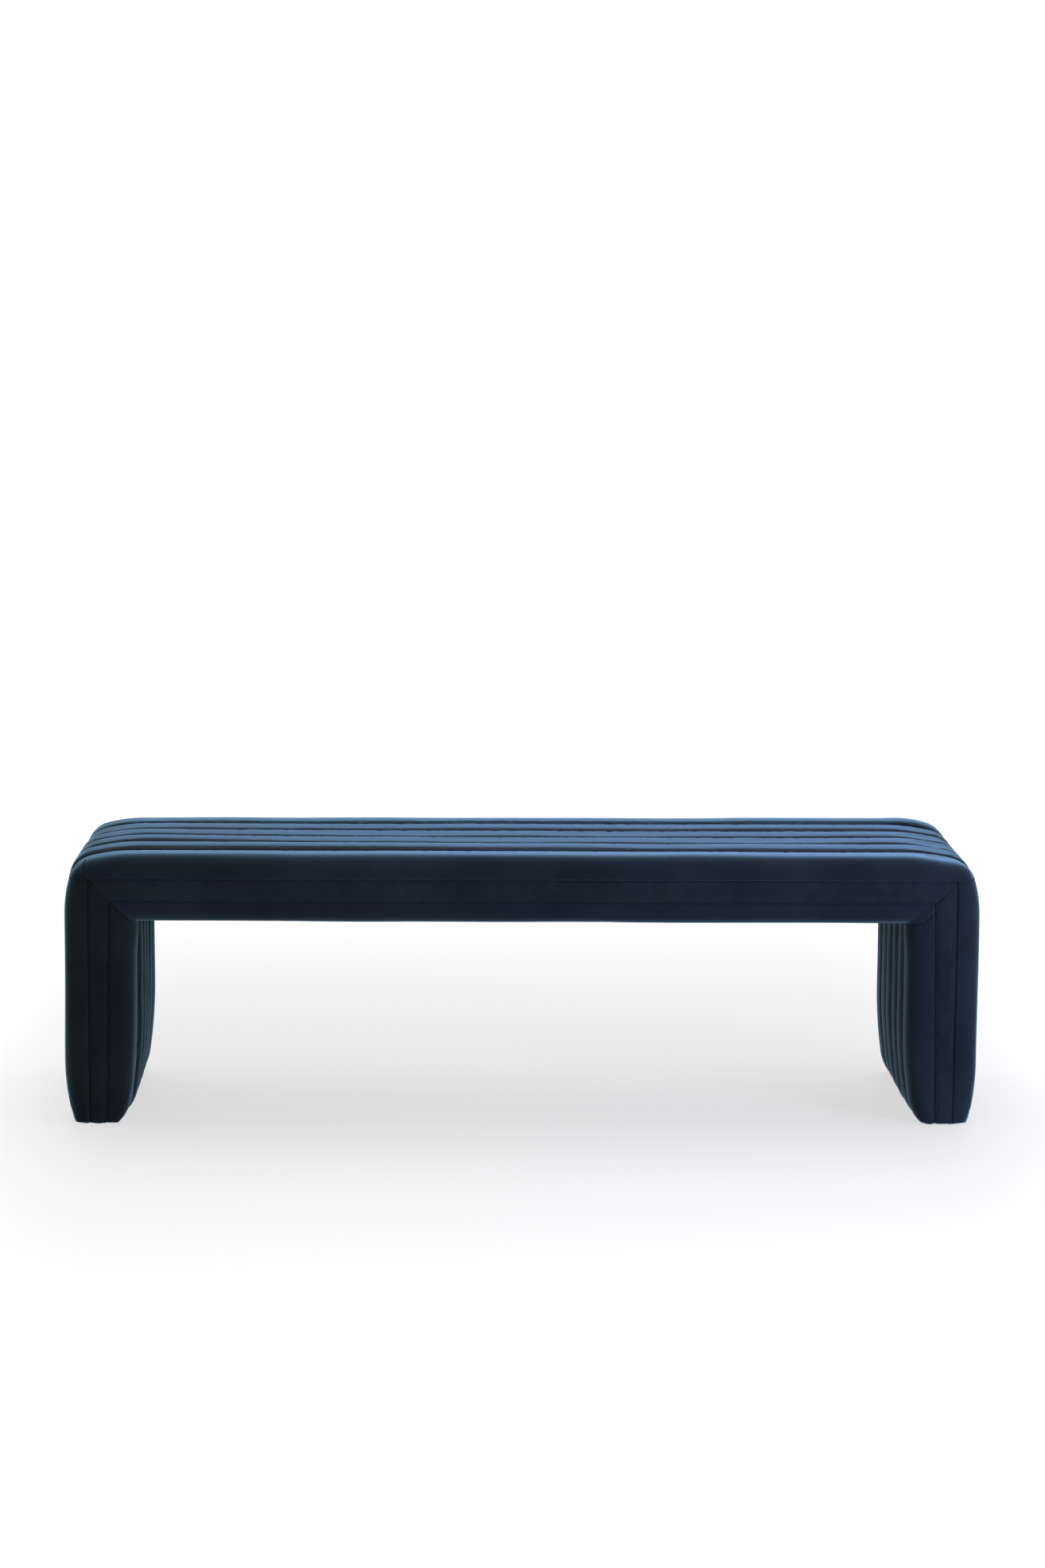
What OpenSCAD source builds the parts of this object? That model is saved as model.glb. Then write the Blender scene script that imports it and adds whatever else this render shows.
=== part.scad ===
// Channel-quilted velvet bench: a padded seat and two padded legs in one upside-down U.
// The origin is on the floor under the middle of the seat, with X along the bench,
// -Y towards its front and Z up.

/* [Overall size] */
// Length over the two legs, along X
bench_l = 1524; // [1200:1:1800]
// Depth from front to back, along Y
bench_d = 457; // [420:1:500]
// Height from the floor to the crests of the top channels
bench_h = 457; // [420:1:480]
// Thickness of the seat, from its crests to the crests under it
seat_t = 120; // [116:1:132]
// Thickness of each leg, along X
leg_t = 126; // [124:0.5:134]

/* [Velvet channels] */
// Number of channels over the depth, counting the two edge rolls
channel_count = 6; // [5:1:8]
// Thickness of an outer channel at its crest
outer_pad_t = 20; // [17:0.5:21]
// Depth of the sewn grooves between the outer channels
outer_groove = 12.5; // [8:0.5:14]
// Thickness of an inner channel at its crest
inner_pad_t = 15; // [13:0.5:16]
// Depth of the sewn grooves between the inner channels
inner_groove = 9.5; // [6:0.5:11]
// How far the front edge roll lies below the other crests
front_roll_drop = 3; // [0:0.5:5]
// How far the back edge roll lies below them
back_roll_drop = 1.5; // [0:0.5:5]
// Thickness of the padding on the front and back faces
face_pad_t = 15; // [12:0.5:18]
// How far a face seam is drawn in behind the fullest line of its roll
seam_tuck = 5; // [4:0.5:8]
// Crown of the flat strip between the two face seams
strip_crown = 3.6; // [2:0.1:4]

/* [Face seams] */
// Outer face seam of the seat, below the top
seat_seam_out = 46; // [40:0.5:50]
// Inner face seam of the seat, below the top
seat_seam_in = 84; // [78:0.5:88]
// Outer face seam of a leg, in from its outer side
leg_seam_out = 43.5; // [40:0.5:50]
// Inner face seam of a leg, in from its outer side
leg_seam_in = 81; // [76:0.5:86]
// How far a leg's outer face seam leans in, from the mitre down to the foot
seam_out_lean = 1.5; // [0:0.5:5]
// How far its inner face seam leans out
seam_in_lean = 5.5; // [0:0.5:8]

/* [Corners] */
// Tight radius in the middle of an outer corner
corner_r = 49; // [42:1:56]
// Long radius of the shoulders that lead into it
shoulder_r = 250; // [200:5:280]
// Angle that each shoulder turns
shoulder_a = 15; // [12:1:18]
// Radius of the crests in the corner under the seat
inner_corner_r = 6; // [4:1:12]

/* [Feet] */
// Gap that the glides leave between the velvet and the floor
foot_gap = 3; // [2:0.5:5]
// Height at which a leg's outer side starts to taper
taper_h = 106; // [96:1:120]
// Radius of that taper
taper_r = 400; // [360:10:600]
// Height at which a leg's inner side starts to curve under
heel_h = 164; // [150:1:180]
// Radius of the first, gentle part of the heel
heel_r1 = 860; // [800:10:1000]
// Height at which the last, tighter part of the heel starts
heel_mid_h = 40; // [36:1:44]
// Radius of that last part
heel_r2 = 56; // [54:1:80]
// Radius of a nail-on glide
glide_r = 11; // [9:0.5:13]
// Length of a glide's nail
nail_l = 12; // [8:0.5:14]
// Radius of a glide's nail
nail_r = 1.4; // [1:0.1:2]
// Distance from the front or back face to a glide's centre
glide_inset = 45; // [36:1:80]
// Thickness of the black dust cover under a leg
dust_t = 1; // [0.6:0.1:1.5]

/* [Foam and frame] */
// Seat foam between the deck and the top channels
seat_foam_t = 20; // [16:0.5:24]
// Foam on the outer side of a leg
side_foam_t = 11.7; // [10:0.1:13]
// Plywood deck under the seat foam
deck_t = 12; // [9:0.5:15]
// Thin board under the seat rails
base_board_t = 4; // [3:0.5:6]
// Bending plywood on both sides of a leg frame
panel_t = 6; // [4:0.5:7]
// Timber of the rails, posts and stretchers
stock_t = 28; // [22:1:34]
// Plywood foot board at the bottom of a leg
foot_board_t = 15; // [12:0.5:18]
// Number of cross rails under the deck
cross_rail_count = 5; // [3:1:7]
// Distance from a leg's posts to the middle of the nearest cross rail
end_rail_inset = 162; // [150:2:240]
// Leg of a triangular glue block
block_leg = 42; // [30:1:60]
// Height of a leg's middle stretcher above the floor
stretcher_h = 200; // [150:5:260]
// Long arm of a steel corner plate
plate_arm = 80; // [60:1:90]
// Width of a corner plate's arms
plate_w = 18; // [14:0.5:20]
// Thickness of a corner plate
plate_t = 2.5; // [2:0.1:3.5]
// Radius of a screw's shank
screw_r = 2; // [1.5:0.1:2.5]
// Length of a plate screw in the wood
screw_l = 18; // [12:1:22]
// Radius of a screw's head
screw_head_r = 4; // [3.5:0.1:4.5]
// Length of a deck screw in the rail under the deck
deck_screw_l = 24; // [16:1:30]

/* [Fit] */
// Clearance between soft pieces, and between the padding and what it covers
fit = 0.3; // [0.2:0.05:0.4]
// Radial clearance of a screw or nail in its pilot hole
pilot_fit = 0.1; // [0.05:0.05:0.2]

/* [Hidden] */
half_l = bench_l / 2;
half_d = bench_d / 2;
pitch = bench_d / channel_count;
roll_seam_y = half_d - pitch;
face_y = half_d - face_pad_t;
frame_y = face_y - fit;
inner_x = half_l - leg_t;
under_z = bench_h - seat_t;

// Depths below the outer crests at which the layers of the seat and the legs start
foam_d = outer_pad_t + fit;
deck_d = foam_d + seat_foam_t;
rail_d = deck_d + deck_t;
side_panel_d = foam_d + side_foam_t;
post_d = side_panel_d + panel_t;
// Depths behind the inner crests
board_d = inner_pad_t + fit;
inner_post_d = board_d + panel_t;

deck_top_z = bench_h - deck_d;
rail_top_z = bench_h - rail_d;
board_z = under_z + board_d;
rail_bottom_z = board_z + base_board_t;
post_in_x = inner_x + inner_post_d;
post_out_x = half_l - post_d;
inside_y = frame_y - stock_t;
foot_board_z = foot_gap + dust_t;
foot_top_z = foot_board_z + foot_board_t;

function backwards(list) = [for (i = [len(list) - 1 : -1 : 0]) list[i]];

// The heel turns on until it reaches the bottom of the velvet
heel_a = asin((heel_h - heel_mid_h) / heel_r1);
function heel_angle(z) = z > heel_mid_h
    ? asin((heel_h - z) / heel_r1)
    : asin(sin(heel_a) + (heel_mid_h - z) / heel_r2);
// Crest of a leg's outer side, and of its inner side, at height z
function outer_x(z) = half_l - (z < taper_h ? taper_r - sqrt(taper_r ^ 2 - (taper_h - z) ^ 2) : 0);
function heel_x(z) = let (a = heel_angle(z)) z > heel_mid_h
    ? heel_r1 * (1 - cos(a))
    : heel_r1 * (1 - cos(heel_a)) + heel_r2 * (cos(heel_a) - cos(a));
function leg_inner_x(z) = inner_x + (z < heel_h ? heel_x(z) : 0);

taper_steps = 3;
outer_heights = concat(
    [for (i = [0 : taper_steps]) taper_h + (foot_top_z - taper_h) * i / taper_steps],
    [foot_gap]);
inner_heights = [heel_h, (heel_h + heel_mid_h) / 2, heel_mid_h,
                 foot_top_z, (foot_top_z + foot_gap) / 2, foot_gap];

// A station of a path is [crest point, unit direction into the padding, depth of its face seam]
function turn(a) = [sin(a), cos(a)];
corner_reach = shoulder_r * (sin(shoulder_a) + 1 - cos(shoulder_a))
             + corner_r * (cos(shoulder_a) - sin(shoulder_a));
shoulder_c = [half_l - corner_reach, bench_h - shoulder_r];
corner_c = shoulder_c + (shoulder_r - corner_r) * turn(shoulder_a);
side_shoulder_c = corner_c - (shoulder_r - corner_r) * turn(90 - shoulder_a);
shoulder_steps = 2;
corner_steps = 6;
corner_arc = concat(
    [for (i = [0 : shoulder_steps]) let (a = shoulder_a * i / shoulder_steps)
        [shoulder_c + shoulder_r * turn(a), a]],
    [for (i = [1 : corner_steps]) let (a = shoulder_a + (90 - 2 * shoulder_a) * i / corner_steps)
        [corner_c + corner_r * turn(a), a]],
    [for (i = [1 : shoulder_steps]) let (a = 90 - shoulder_a + shoulder_a * i / shoulder_steps)
        [side_shoulder_c + shoulder_r * turn(a), a]]);
under_steps = 4;
under_c = [inner_x - inner_corner_r, under_z - inner_corner_r];
under_arc = [for (i = [0 : under_steps]) let (a = 90 * i / under_steps)
    [under_c + inner_corner_r * turn(a), a]];

outer_half = concat(
    [for (s = corner_arc) [s[0], -turn(s[1])]],
    [for (z = outer_heights) [[outer_x(z), z], [-1, 0]]]);
inner_half = concat(
    [for (s = under_arc) [s[0], turn(s[1])]],
    [for (z = inner_heights) [[leg_inner_x(z), z], [1, 0]]]);

// The edge rolls reach the face seams, whose corners are sharp mitres. Each corner station aims
// at its share of the way along the seam, so that the rolls fan out round the mitre.
function aimed(p, s) = [p, (s - p) / norm(s - p), norm(s - p)];
function leaning(seam, lean, z) = [seam[0] + lean * (seam[1] - z) / (seam[1] - foot_gap), z];
function fan(arc, seam, lean) = let (
        first = arc[0][0],
        last = arc[len(arc) - 1][0],
        middle = arc[(len(arc) - 1) / 2][0])
    [for (s = arc) let (p = s[0])
        aimed(p, s[1] <= 45
            ? [first[0] + (seam[0] - first[0]) * (p[0] - first[0]) / (middle[0] - first[0]), seam[1]]
            : leaning(seam, lean,
                last[1] + (seam[1] - last[1]) * (p[1] - last[1]) / (middle[1] - last[1])))];
seam_out = [half_l - leg_seam_out, bench_h - seat_seam_out];
seam_in = [half_l - leg_seam_in, bench_h - seat_seam_in];
// The two face seams of a leg draw together a little towards the foot
function seam_out_at(z) = leaning(seam_out, -seam_out_lean, z);
function seam_in_at(z) = leaning(seam_in, seam_in_lean, z);
outer_roll_half = concat(
    fan(corner_arc, seam_out, -seam_out_lean),
    [for (z = outer_heights) aimed([outer_x(z), z], seam_out_at(z))]);
inner_roll_half = concat(
    fan(under_arc, seam_in, seam_in_lean),
    [for (z = inner_heights) aimed([leg_inner_x(z), z], seam_in_at(z))]);

function flipped_x(p) = [-p[0], p[1]];
function flipped(s) = [flipped_x(s[0]), flipped_x(s[1]), s[2]];
function whole(half) = concat([for (s = backwards(half)) flipped(s)], half);

// Sections are lists of [y, depth below the crest]. Stuffed velvet stands fuller than an ellipse,
// flatter on its crown and steeper at its seams, so crowns are superellipses: power 2 is an ellipse.
function round_out(a, power) = sign(cos(a)) * abs(cos(a)) ^ (2 / power);
function round_up(a, power) = abs(sin(a)) ^ (2 / power);
crown_steps = 8;
crown_power = 3.5;
function channel_section(i, groove, pad) = let (
        half_w = (pitch - fit) / 2,
        mid = -half_d + (i + 0.5) * pitch)
    concat(
        [[mid - half_w, pad]],
        [for (k = [0 : crown_steps]) let (a = 180 * k / crown_steps)
            [mid - half_w * round_out(a, crown_power), groove * (1 - round_up(a, crown_power))]],
        [[mid + half_w, pad]]);

// An edge roll starts at its seam on the broad side, rises to its crest, goes over the edge and
// is drawn in again to the face seam. Its section starts at the corner of its back.
rise_steps = 4;
edge_steps = 6;
tuck_steps = 3;
rise_power = 3.4;
edge_power = 2.7;
tuck_power = 3.6;
function roll_section(seam_d, drop, groove, pad, tuck_h) = let (
        back = min(pad, seam_d - 1),
        crest_y = half_d - pitch / 2,
        start_y = roll_seam_y + fit / 2,
        end_d = seam_d - fit / 2,
        tuck = min(tuck_h, end_d / 2),
        full_d = end_d - tuck)
    concat(
        [[-face_y, back], [-face_y, end_d]],
        [for (k = [0 : tuck_steps]) let (a = 90 - 90 * k / tuck_steps)
            [-half_d + seam_tuck * (1 - round_out(a, tuck_power)),
             end_d - tuck * (1 - round_up(a, tuck_power))]],
        [for (k = [1 : edge_steps]) let (a = 90 - 90 * k / edge_steps)
            [-crest_y - (half_d - crest_y) * round_up(a, edge_power),
             drop + (full_d - drop) * (1 - round_out(a, edge_power))]],
        [for (k = [1 : rise_steps]) let (a = 90 * k / rise_steps)
            [-crest_y + (crest_y - start_y) * round_up(a, rise_power),
             drop + (groove - drop) * (1 - round_out(a, rise_power))]],
        [[-start_y, back]]);

// Closed solid through one ring of points per station
module swept(rings) {
    n = len(rings[0]);
    last = len(rings) - 1;
    points = [for (ring = rings) each ring];
    sides = [for (i = [0 : last - 1], k = [0 : n - 1]) let (
            a = i * n + k,
            b = i * n + (k + 1) % n)
        each [[a, b + n, b], [a, a + n, b + n]]];
    caps = [for (k = [1 : n - 2]) each [[0, k, k + 1], [last * n, last * n + k + 1, last * n + k]]];
    polyhedron(points = points, faces = concat(sides, caps));
}
function ring(station, section) =
    [for (p = section) let (q = station[0] + p[1] * station[1]) [q[0], p[0], q[1]]];

module outer_channel(i) {
    color("#24507d")
        swept([for (s = backwards(whole(outer_half)))
            ring(s, channel_section(i, outer_groove, outer_pad_t))]);
}
module inner_channel(i) {
    color("#1b3c5e")
        swept([for (s = whole(inner_half)) ring(s, channel_section(i, inner_groove, inner_pad_t))]);
}
outer_tuck_h = 7;
inner_tuck_h = 10;
module outer_roll(drop) {
    color("#214a74") swept([for (s = backwards(whole(outer_roll_half)))
        ring(s, roll_section(s[2], drop, outer_groove, outer_pad_t, outer_tuck_h))]);
}
module inner_roll() {
    color("#193655") swept([for (s = whole(inner_roll_half))
        ring(s, roll_section(s[2], 0, inner_groove, inner_pad_t, inner_tuck_h))]);
}

// A face strip lies between the two seams, with a low crown on a flat back. Its stations are
// pairs of points, one on each seam.
strip_steps = 6;
strip_power = 4;
module strip(stations) {
    edge_y = half_d - seam_tuck;
    color("#18324f") swept([for (s = stations) let (
            w = norm(s[1] - s[0]),
            start = fit / 2 / w,
            across = [for (k = [0 : strip_steps]) start + (1 - 2 * start) * k / strip_steps],
            crown = [for (v = across) [v, edge_y + strip_crown * (1 - abs(2 * v - 1) ^ strip_power)]],
            section = concat([[0, face_y]], crown, [[1, face_y]]))
        [for (p = section) let (v = min(max(p[0], start), 1 - start), q = s[0] + v * (s[1] - s[0]))
            [q[0], -p[1], q[1]]]]);
}
// The seat's strip and the legs' strips meet in mitres, half a clearance back from each other
mitre_back = fit / sqrt(2);
module seat_strip() {
    a = seam_out - [mitre_back, 0];
    b = seam_in - [mitre_back, 0];
    strip([[flipped_x(a), flipped_x(b)], [a, b]]);
}
module leg_strip() {
    strip(concat(
        [[seam_out - [0, mitre_back], seam_in - [0, mitre_back]]],
        [for (z = outer_heights) [seam_out_at(z), seam_in_at(z)]]));
}

// Layers of a leg follow its two curved sides. Each runs between heights z0 and z1.
function side_line(d, z0, z1) = concat([[outer_x(z1) - d, z1]],
    [for (z = outer_heights) if (z > z0 && z < z1) [outer_x(z) - d, z]], [[outer_x(z0) - d, z0]]);
function heel_line(d, z0, z1) = concat([[leg_inner_x(z1) + d, z1]],
    [for (z = inner_heights) if (z > z0 && z < z1) [leg_inner_x(z) + d, z]], [[leg_inner_x(z0) + d, z0]]);
function closed(a, b) = concat(a, backwards(b));
// Extrudes an outline in X and Z from the front, at y0, to the back, at y1
module through(y0, y1, outline) {
    translate([0, y1, 0]) rotate([90, 0, 0]) linear_extrude(height = y1 - y0) polygon(outline);
}
module slab(x0, x1, y0, y1, z0, z1) {
    translate([x0, y0, z0]) cube([x1 - x0, y1 - y0, z1 - z0]);
}

corner_z = bench_h - corner_reach;
module seat_foam() {
    color("#e8dcae")
        slab(-shoulder_c[0], shoulder_c[0], -frame_y, frame_y, deck_top_z, bench_h - foam_d);
}
module corner_foam() {
    color("#efe4bd") through(-frame_y, frame_y, concat(
        [for (s = corner_arc) s[0] - foam_d * turn(s[1])],
        [[half_l - side_panel_d, corner_z], [half_l - side_panel_d, deck_top_z],
         [shoulder_c[0], deck_top_z]]));
}
module side_foam() {
    color("#e8dcae") through(-frame_y, frame_y, closed(
        side_line(foam_d, foot_top_z, corner_z), side_line(side_panel_d, foot_top_z, corner_z)));
}
module side_panel() {
    color("#c9a878") through(-frame_y, frame_y, closed(
        side_line(side_panel_d, foot_top_z, rail_top_z), side_line(post_d, foot_top_z, rail_top_z)));
}
module inner_panel() {
    color("#c9a878") through(-frame_y, frame_y, closed(
        heel_line(inner_post_d, foot_top_z, board_z), heel_line(board_d, foot_top_z, board_z)));
}
module foot_board() {
    color("#b8935f") difference() {
        through(-frame_y, frame_y, closed(
            side_line(foam_d, foot_board_z, foot_top_z), heel_line(board_d, foot_board_z, foot_top_z)));
        at_glides() translate([0, 0, foot_gap])
            cylinder(r = nail_r + pilot_fit, h = nail_l + fit, $fn = 32);
    }
}
module dust_cover() {
    color("#1c1c1e") difference() {
        slab(leg_inner_x(foot_gap) + board_d, outer_x(foot_gap) - foam_d,
             -frame_y, frame_y, foot_gap, foot_board_z);
        at_glides() cylinder(r = nail_r + pilot_fit, h = nail_l, $fn = 32);
    }
}
glide_x = (leg_inner_x(foot_gap) + board_d + outer_x(foot_gap) - foam_d) / 2;
module at_glides() {
    for (side = [-1, 1]) translate([glide_x, side * (half_d - glide_inset), 0]) children();
}
// Two nail-on glides of one leg: a low flat-bottomed button and its nail
module glides() {
    rim_h = foot_gap / 2;
    color("#7d7f82") at_glides() rotate_extrude($fn = 64) union() {
        translate([0, rim_h]) square([glide_r, foot_gap - rim_h]);
        polygon([[0, 0], [glide_r - rim_h, 0], [glide_r, rim_h], [0, rim_h]]);
        translate([0, foot_gap]) square([nail_r, nail_l]);
    }
}

module seat_deck() {
    color("#c9a878") difference() {
        slab(-half_l + side_panel_d, half_l - side_panel_d, -frame_y, frame_y, rail_top_z, deck_top_z);
        at_deck_screws() deck_screw_hole();
    }
}
module base_board() {
    color("#c9a878") slab(-post_in_x, post_in_x, -frame_y, frame_y, board_z, rail_bottom_z);
}
// Front rail, mirrored for the back
module long_rail() {
    color("#d9bd8b") difference() {
        slab(-post_in_x, post_in_x, -frame_y, -inside_y, rail_bottom_z, rail_top_z);
        for (side = [-1, 1]) scale_x(side) at_plate_screws() plate_screw_hole();
        at_deck_screws() deck_screw_hole();
    }
}
end_rail_x = post_in_x - end_rail_inset;
cross_rail_pitch = 2 * end_rail_x / (cross_rail_count - 1);
module cross_rails() {
    color("#d9bd8b") for (i = [0 : cross_rail_count - 1]) {
        x = i * cross_rail_pitch - end_rail_x;
        slab(x - stock_t / 2, x + stock_t / 2, -inside_y, inside_y, rail_bottom_z, rail_top_z);
    }
}
// Glued into the corners of the outermost cross rails, on their outer sides
module glue_blocks() {
    x = end_rail_x + stock_t / 2;
    color("#cfae77") for (sx = [-1, 1], sy = [-1, 1])
        translate([0, 0, rail_bottom_z]) linear_extrude(height = rail_top_z - rail_bottom_z)
            polygon([[sx * x, sy * inside_y], [sx * (x + block_leg), sy * inside_y],
                     [sx * x, sy * (inside_y - block_leg)]]);
}
// Front and back posts of the right leg
module leg_posts() {
    color("#d9bd8b") for (side = [-1, 1]) difference() {
        through(min(side * frame_y, side * inside_y), max(side * frame_y, side * inside_y), closed(
            side_line(post_d, foot_top_z, rail_top_z), heel_line(inner_post_d, foot_top_z, rail_top_z)));
        scale_y(-side) at_plate_screws() plate_screw_hole();
    }
}
// Stretchers between the posts: on the foot board, at mid height and under the deck
module leg_stretchers() {
    low_in = leg_inner_x(foot_top_z) + inner_post_d;
    low_out = outer_x(foot_top_z) - post_d;
    mid_in = leg_inner_x(stretcher_h - stock_t / 2) + inner_post_d;
    color("#d9bd8b") {
        slab(low_in, low_out, -inside_y, inside_y, foot_top_z, foot_top_z + stock_t);
        slab(mid_in, post_out_x, -inside_y, inside_y,
             stretcher_h - stock_t / 2, stretcher_h + stock_t / 2);
        slab(post_in_x, post_out_x, -inside_y, inside_y, rail_top_z - stock_t / 2, rail_top_z);
    }
}

module scale_x(side) {
    if (side < 0) mirror([1, 0, 0]) children();
    else children();
}
module scale_y(side) {
    if (side < 0) mirror([0, 1, 0]) children();
    else children();
}
// An L-shaped plate ties the front rail to the right front post, on their inner faces
plate_z = rail_bottom_z + plate_w / 2 + 2;
plate_x = post_in_x + plate_w;
hole_step = (plate_arm - plate_w) / 2;
plate_holes = [[plate_x - plate_arm + plate_w / 2, plate_z], [plate_x - hole_step - plate_w / 2, plate_z],
               [plate_x, plate_z], [plate_x, plate_z - plate_arm + plate_w]];
module at_plate_screws() {
    for (p = plate_holes) translate([p[0], -inside_y, p[1]]) rotate([90, 0, 0]) children();
}
module plate_screw_hole() {
    translate([0, 0, -plate_t - 1]) cylinder(r = screw_r + pilot_fit, h = screw_l + plate_t + 2, $fn = 32);
}
module corner_plate() {
    half_w = plate_w / 2;
    difference() {
        union() {
            slab(plate_x - plate_arm, plate_x + half_w, -inside_y, -inside_y + plate_t,
                 plate_z - half_w, plate_z + half_w);
            slab(plate_x - half_w, plate_x + half_w, -inside_y, -inside_y + plate_t,
                 plate_z - plate_arm + half_w, plate_z - half_w);
        }
        at_plate_screws() plate_screw_hole();
    }
}
module corner_plates() {
    color("#b9bcc0") for (sx = [-1, 1], sy = [-1, 1]) scale_x(sx) scale_y(sy) corner_plate();
}
module plate_screws() {
    head_t = 2;
    color("#8f9296") for (sx = [-1, 1], sy = [-1, 1]) scale_x(sx) scale_y(sy)
        at_plate_screws() {
            translate([0, 0, -plate_t]) cylinder(r = screw_r, h = screw_l + plate_t, $fn = 32);
            translate([0, 0, -plate_t - head_t]) cylinder(r = screw_head_r, h = head_t, $fn = 32);
        }
}
// Countersunk deck screws run down the middle of each long rail, between the cross rails
deck_screw_y = (frame_y + inside_y) / 2;
module at_deck_screws() {
    for (i = [0 : cross_rail_count - 2], side = [-1, 1])
        translate([(i + 0.5) * cross_rail_pitch - end_rail_x, side * deck_screw_y, deck_top_z]) children();
}
module deck_screw_hole() {
    translate([0, 0, -deck_t - deck_screw_l])
        cylinder(r = screw_r + pilot_fit, h = deck_t + deck_screw_l + 1, $fn = 32);
    translate([0, 0, -screw_head_r])
        cylinder(r1 = pilot_fit, r2 = screw_head_r + pilot_fit, h = screw_head_r, $fn = 32);
}
module deck_screws() {
    color("#8f9296") at_deck_screws() rotate_extrude($fn = 32) polygon([
        [0, 0], [screw_head_r, 0], [screw_r, screw_r - screw_head_r],
        [screw_r, -deck_t - deck_screw_l], [0, -deck_t - deck_screw_l]]);
}

for (i = [1 : channel_count - 2]) {
    outer_channel(i);
    inner_channel(i);
}
outer_roll(front_roll_drop);  // front_outer_roll
mirror([0, 1, 0]) outer_roll(back_roll_drop);  // back_outer_roll
inner_roll();  // front_inner_roll
mirror([0, 1, 0]) inner_roll();  // back_inner_roll
seat_strip();  // front_seat_strip
mirror([1, 0, 0]) leg_strip();  // front_left_strip
leg_strip();  // front_right_strip
mirror([0, 1, 0]) seat_strip();  // back_seat_strip
mirror([1, 0, 0]) mirror([0, 1, 0]) leg_strip();  // back_left_strip
mirror([0, 1, 0]) leg_strip();  // back_right_strip
seat_foam();
mirror([1, 0, 0]) corner_foam();  // left_corner_foam
corner_foam();  // right_corner_foam
mirror([1, 0, 0]) side_foam();  // left_side_foam
side_foam();  // right_side_foam
seat_deck();
base_board();
long_rail();  // front_rail
mirror([0, 1, 0]) long_rail();  // back_rail
cross_rails();
glue_blocks();
mirror([1, 0, 0]) side_panel();  // left_side_panel
side_panel();  // right_side_panel
mirror([1, 0, 0]) inner_panel();  // left_inner_panel
inner_panel();  // right_inner_panel
mirror([1, 0, 0]) leg_posts();  // left_posts
leg_posts();  // right_posts
mirror([1, 0, 0]) leg_stretchers();  // left_stretchers
leg_stretchers();  // right_stretchers
mirror([1, 0, 0]) foot_board();  // left_foot_board
foot_board();  // right_foot_board
mirror([1, 0, 0]) dust_cover();  // left_dust_cover
dust_cover();  // right_dust_cover
mirror([1, 0, 0]) glides();  // left_glides
glides();  // right_glides
corner_plates();
plate_screws();
deck_screws();
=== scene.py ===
import bpy
import bmesh
import math
from mathutils import Matrix, Vector, noise
from mathutils.bvhtree import BVHTree


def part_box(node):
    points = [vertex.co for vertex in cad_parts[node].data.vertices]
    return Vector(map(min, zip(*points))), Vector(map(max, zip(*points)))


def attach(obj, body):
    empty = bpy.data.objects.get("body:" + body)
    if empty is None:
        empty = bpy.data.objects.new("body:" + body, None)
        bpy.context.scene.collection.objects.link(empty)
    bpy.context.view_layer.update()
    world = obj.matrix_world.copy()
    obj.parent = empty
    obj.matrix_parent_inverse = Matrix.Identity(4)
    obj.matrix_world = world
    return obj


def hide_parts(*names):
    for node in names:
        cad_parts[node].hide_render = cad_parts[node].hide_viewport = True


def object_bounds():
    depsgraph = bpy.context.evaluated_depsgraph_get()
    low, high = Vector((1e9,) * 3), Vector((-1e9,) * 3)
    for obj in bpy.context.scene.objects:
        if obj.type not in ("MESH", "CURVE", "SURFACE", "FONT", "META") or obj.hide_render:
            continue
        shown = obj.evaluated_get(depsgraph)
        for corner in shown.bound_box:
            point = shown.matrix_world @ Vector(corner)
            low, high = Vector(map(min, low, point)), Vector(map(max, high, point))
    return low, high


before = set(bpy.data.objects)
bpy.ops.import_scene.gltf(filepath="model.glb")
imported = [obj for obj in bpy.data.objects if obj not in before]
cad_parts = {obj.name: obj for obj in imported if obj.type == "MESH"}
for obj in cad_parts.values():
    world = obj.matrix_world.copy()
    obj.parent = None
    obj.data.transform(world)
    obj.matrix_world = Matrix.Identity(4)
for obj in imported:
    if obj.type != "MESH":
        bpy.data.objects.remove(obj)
cadLow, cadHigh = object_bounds()
scene = bpy.context.scene
print("stage: CAD frame loaded,", len(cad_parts), "nodes")


def setInputs(node, values):
    for key, value in values.items():
        node.inputs[key].default_value = value


def addNode(tree, kind, values=None, **settings):
    node = tree.nodes.new("ShaderNode" + kind)
    for key, value in settings.items():
        setattr(node, key, value)
    setInputs(node, values or {})
    return node


def connect(tree, *wires):
    # A wire is a node, its output, another node and its input.
    for source, output, target, entry in wires:
        tree.links.new(source.outputs[output], target.inputs[entry])


def startMaterial(name):
    material = bpy.data.materials.new(name)
    material.use_nodes = True
    tree = material.node_tree
    return material, tree, tree.nodes["Principled BSDF"], addNode(tree, "TexCoord")


def finishMesh(bm, name, smooth=False):
    bmesh.ops.recalc_face_normals(bm, faces=bm.faces[:])
    mesh = bpy.data.meshes.new(name)
    bm.to_mesh(mesh)
    bm.free()
    if smooth:
        mesh.shade_smooth()
    piece = bpy.data.objects.new(name, mesh)
    scene.collection.objects.link(piece)
    return piece


def extrudeEdges(bm, edges):
    # Extrudes a run of edges where it lies, and gives its new vertices and its new edges.
    grown = bmesh.ops.extrude_edge_only(bm, edges=edges)["geom"]
    fresh = [v for v in grown if isinstance(v, bmesh.types.BMVert)]
    known = set(fresh)
    return fresh, [e for e in grown if isinstance(e, bmesh.types.BMEdge) and known.issuperset(e.verts)]


# The camera stands where the photographer's stood, a little above the seat and left of centre.
cameraView = {
    "place": (-0.1684, -6.5655, 1.4257),
    "turn": -0.02605,   # radians, towards the right
    "tilt": 0.13385,   # radians, down
    "roll": 0.007,
    "focal": 89.45,
    "sensor": 36.0,
}

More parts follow.
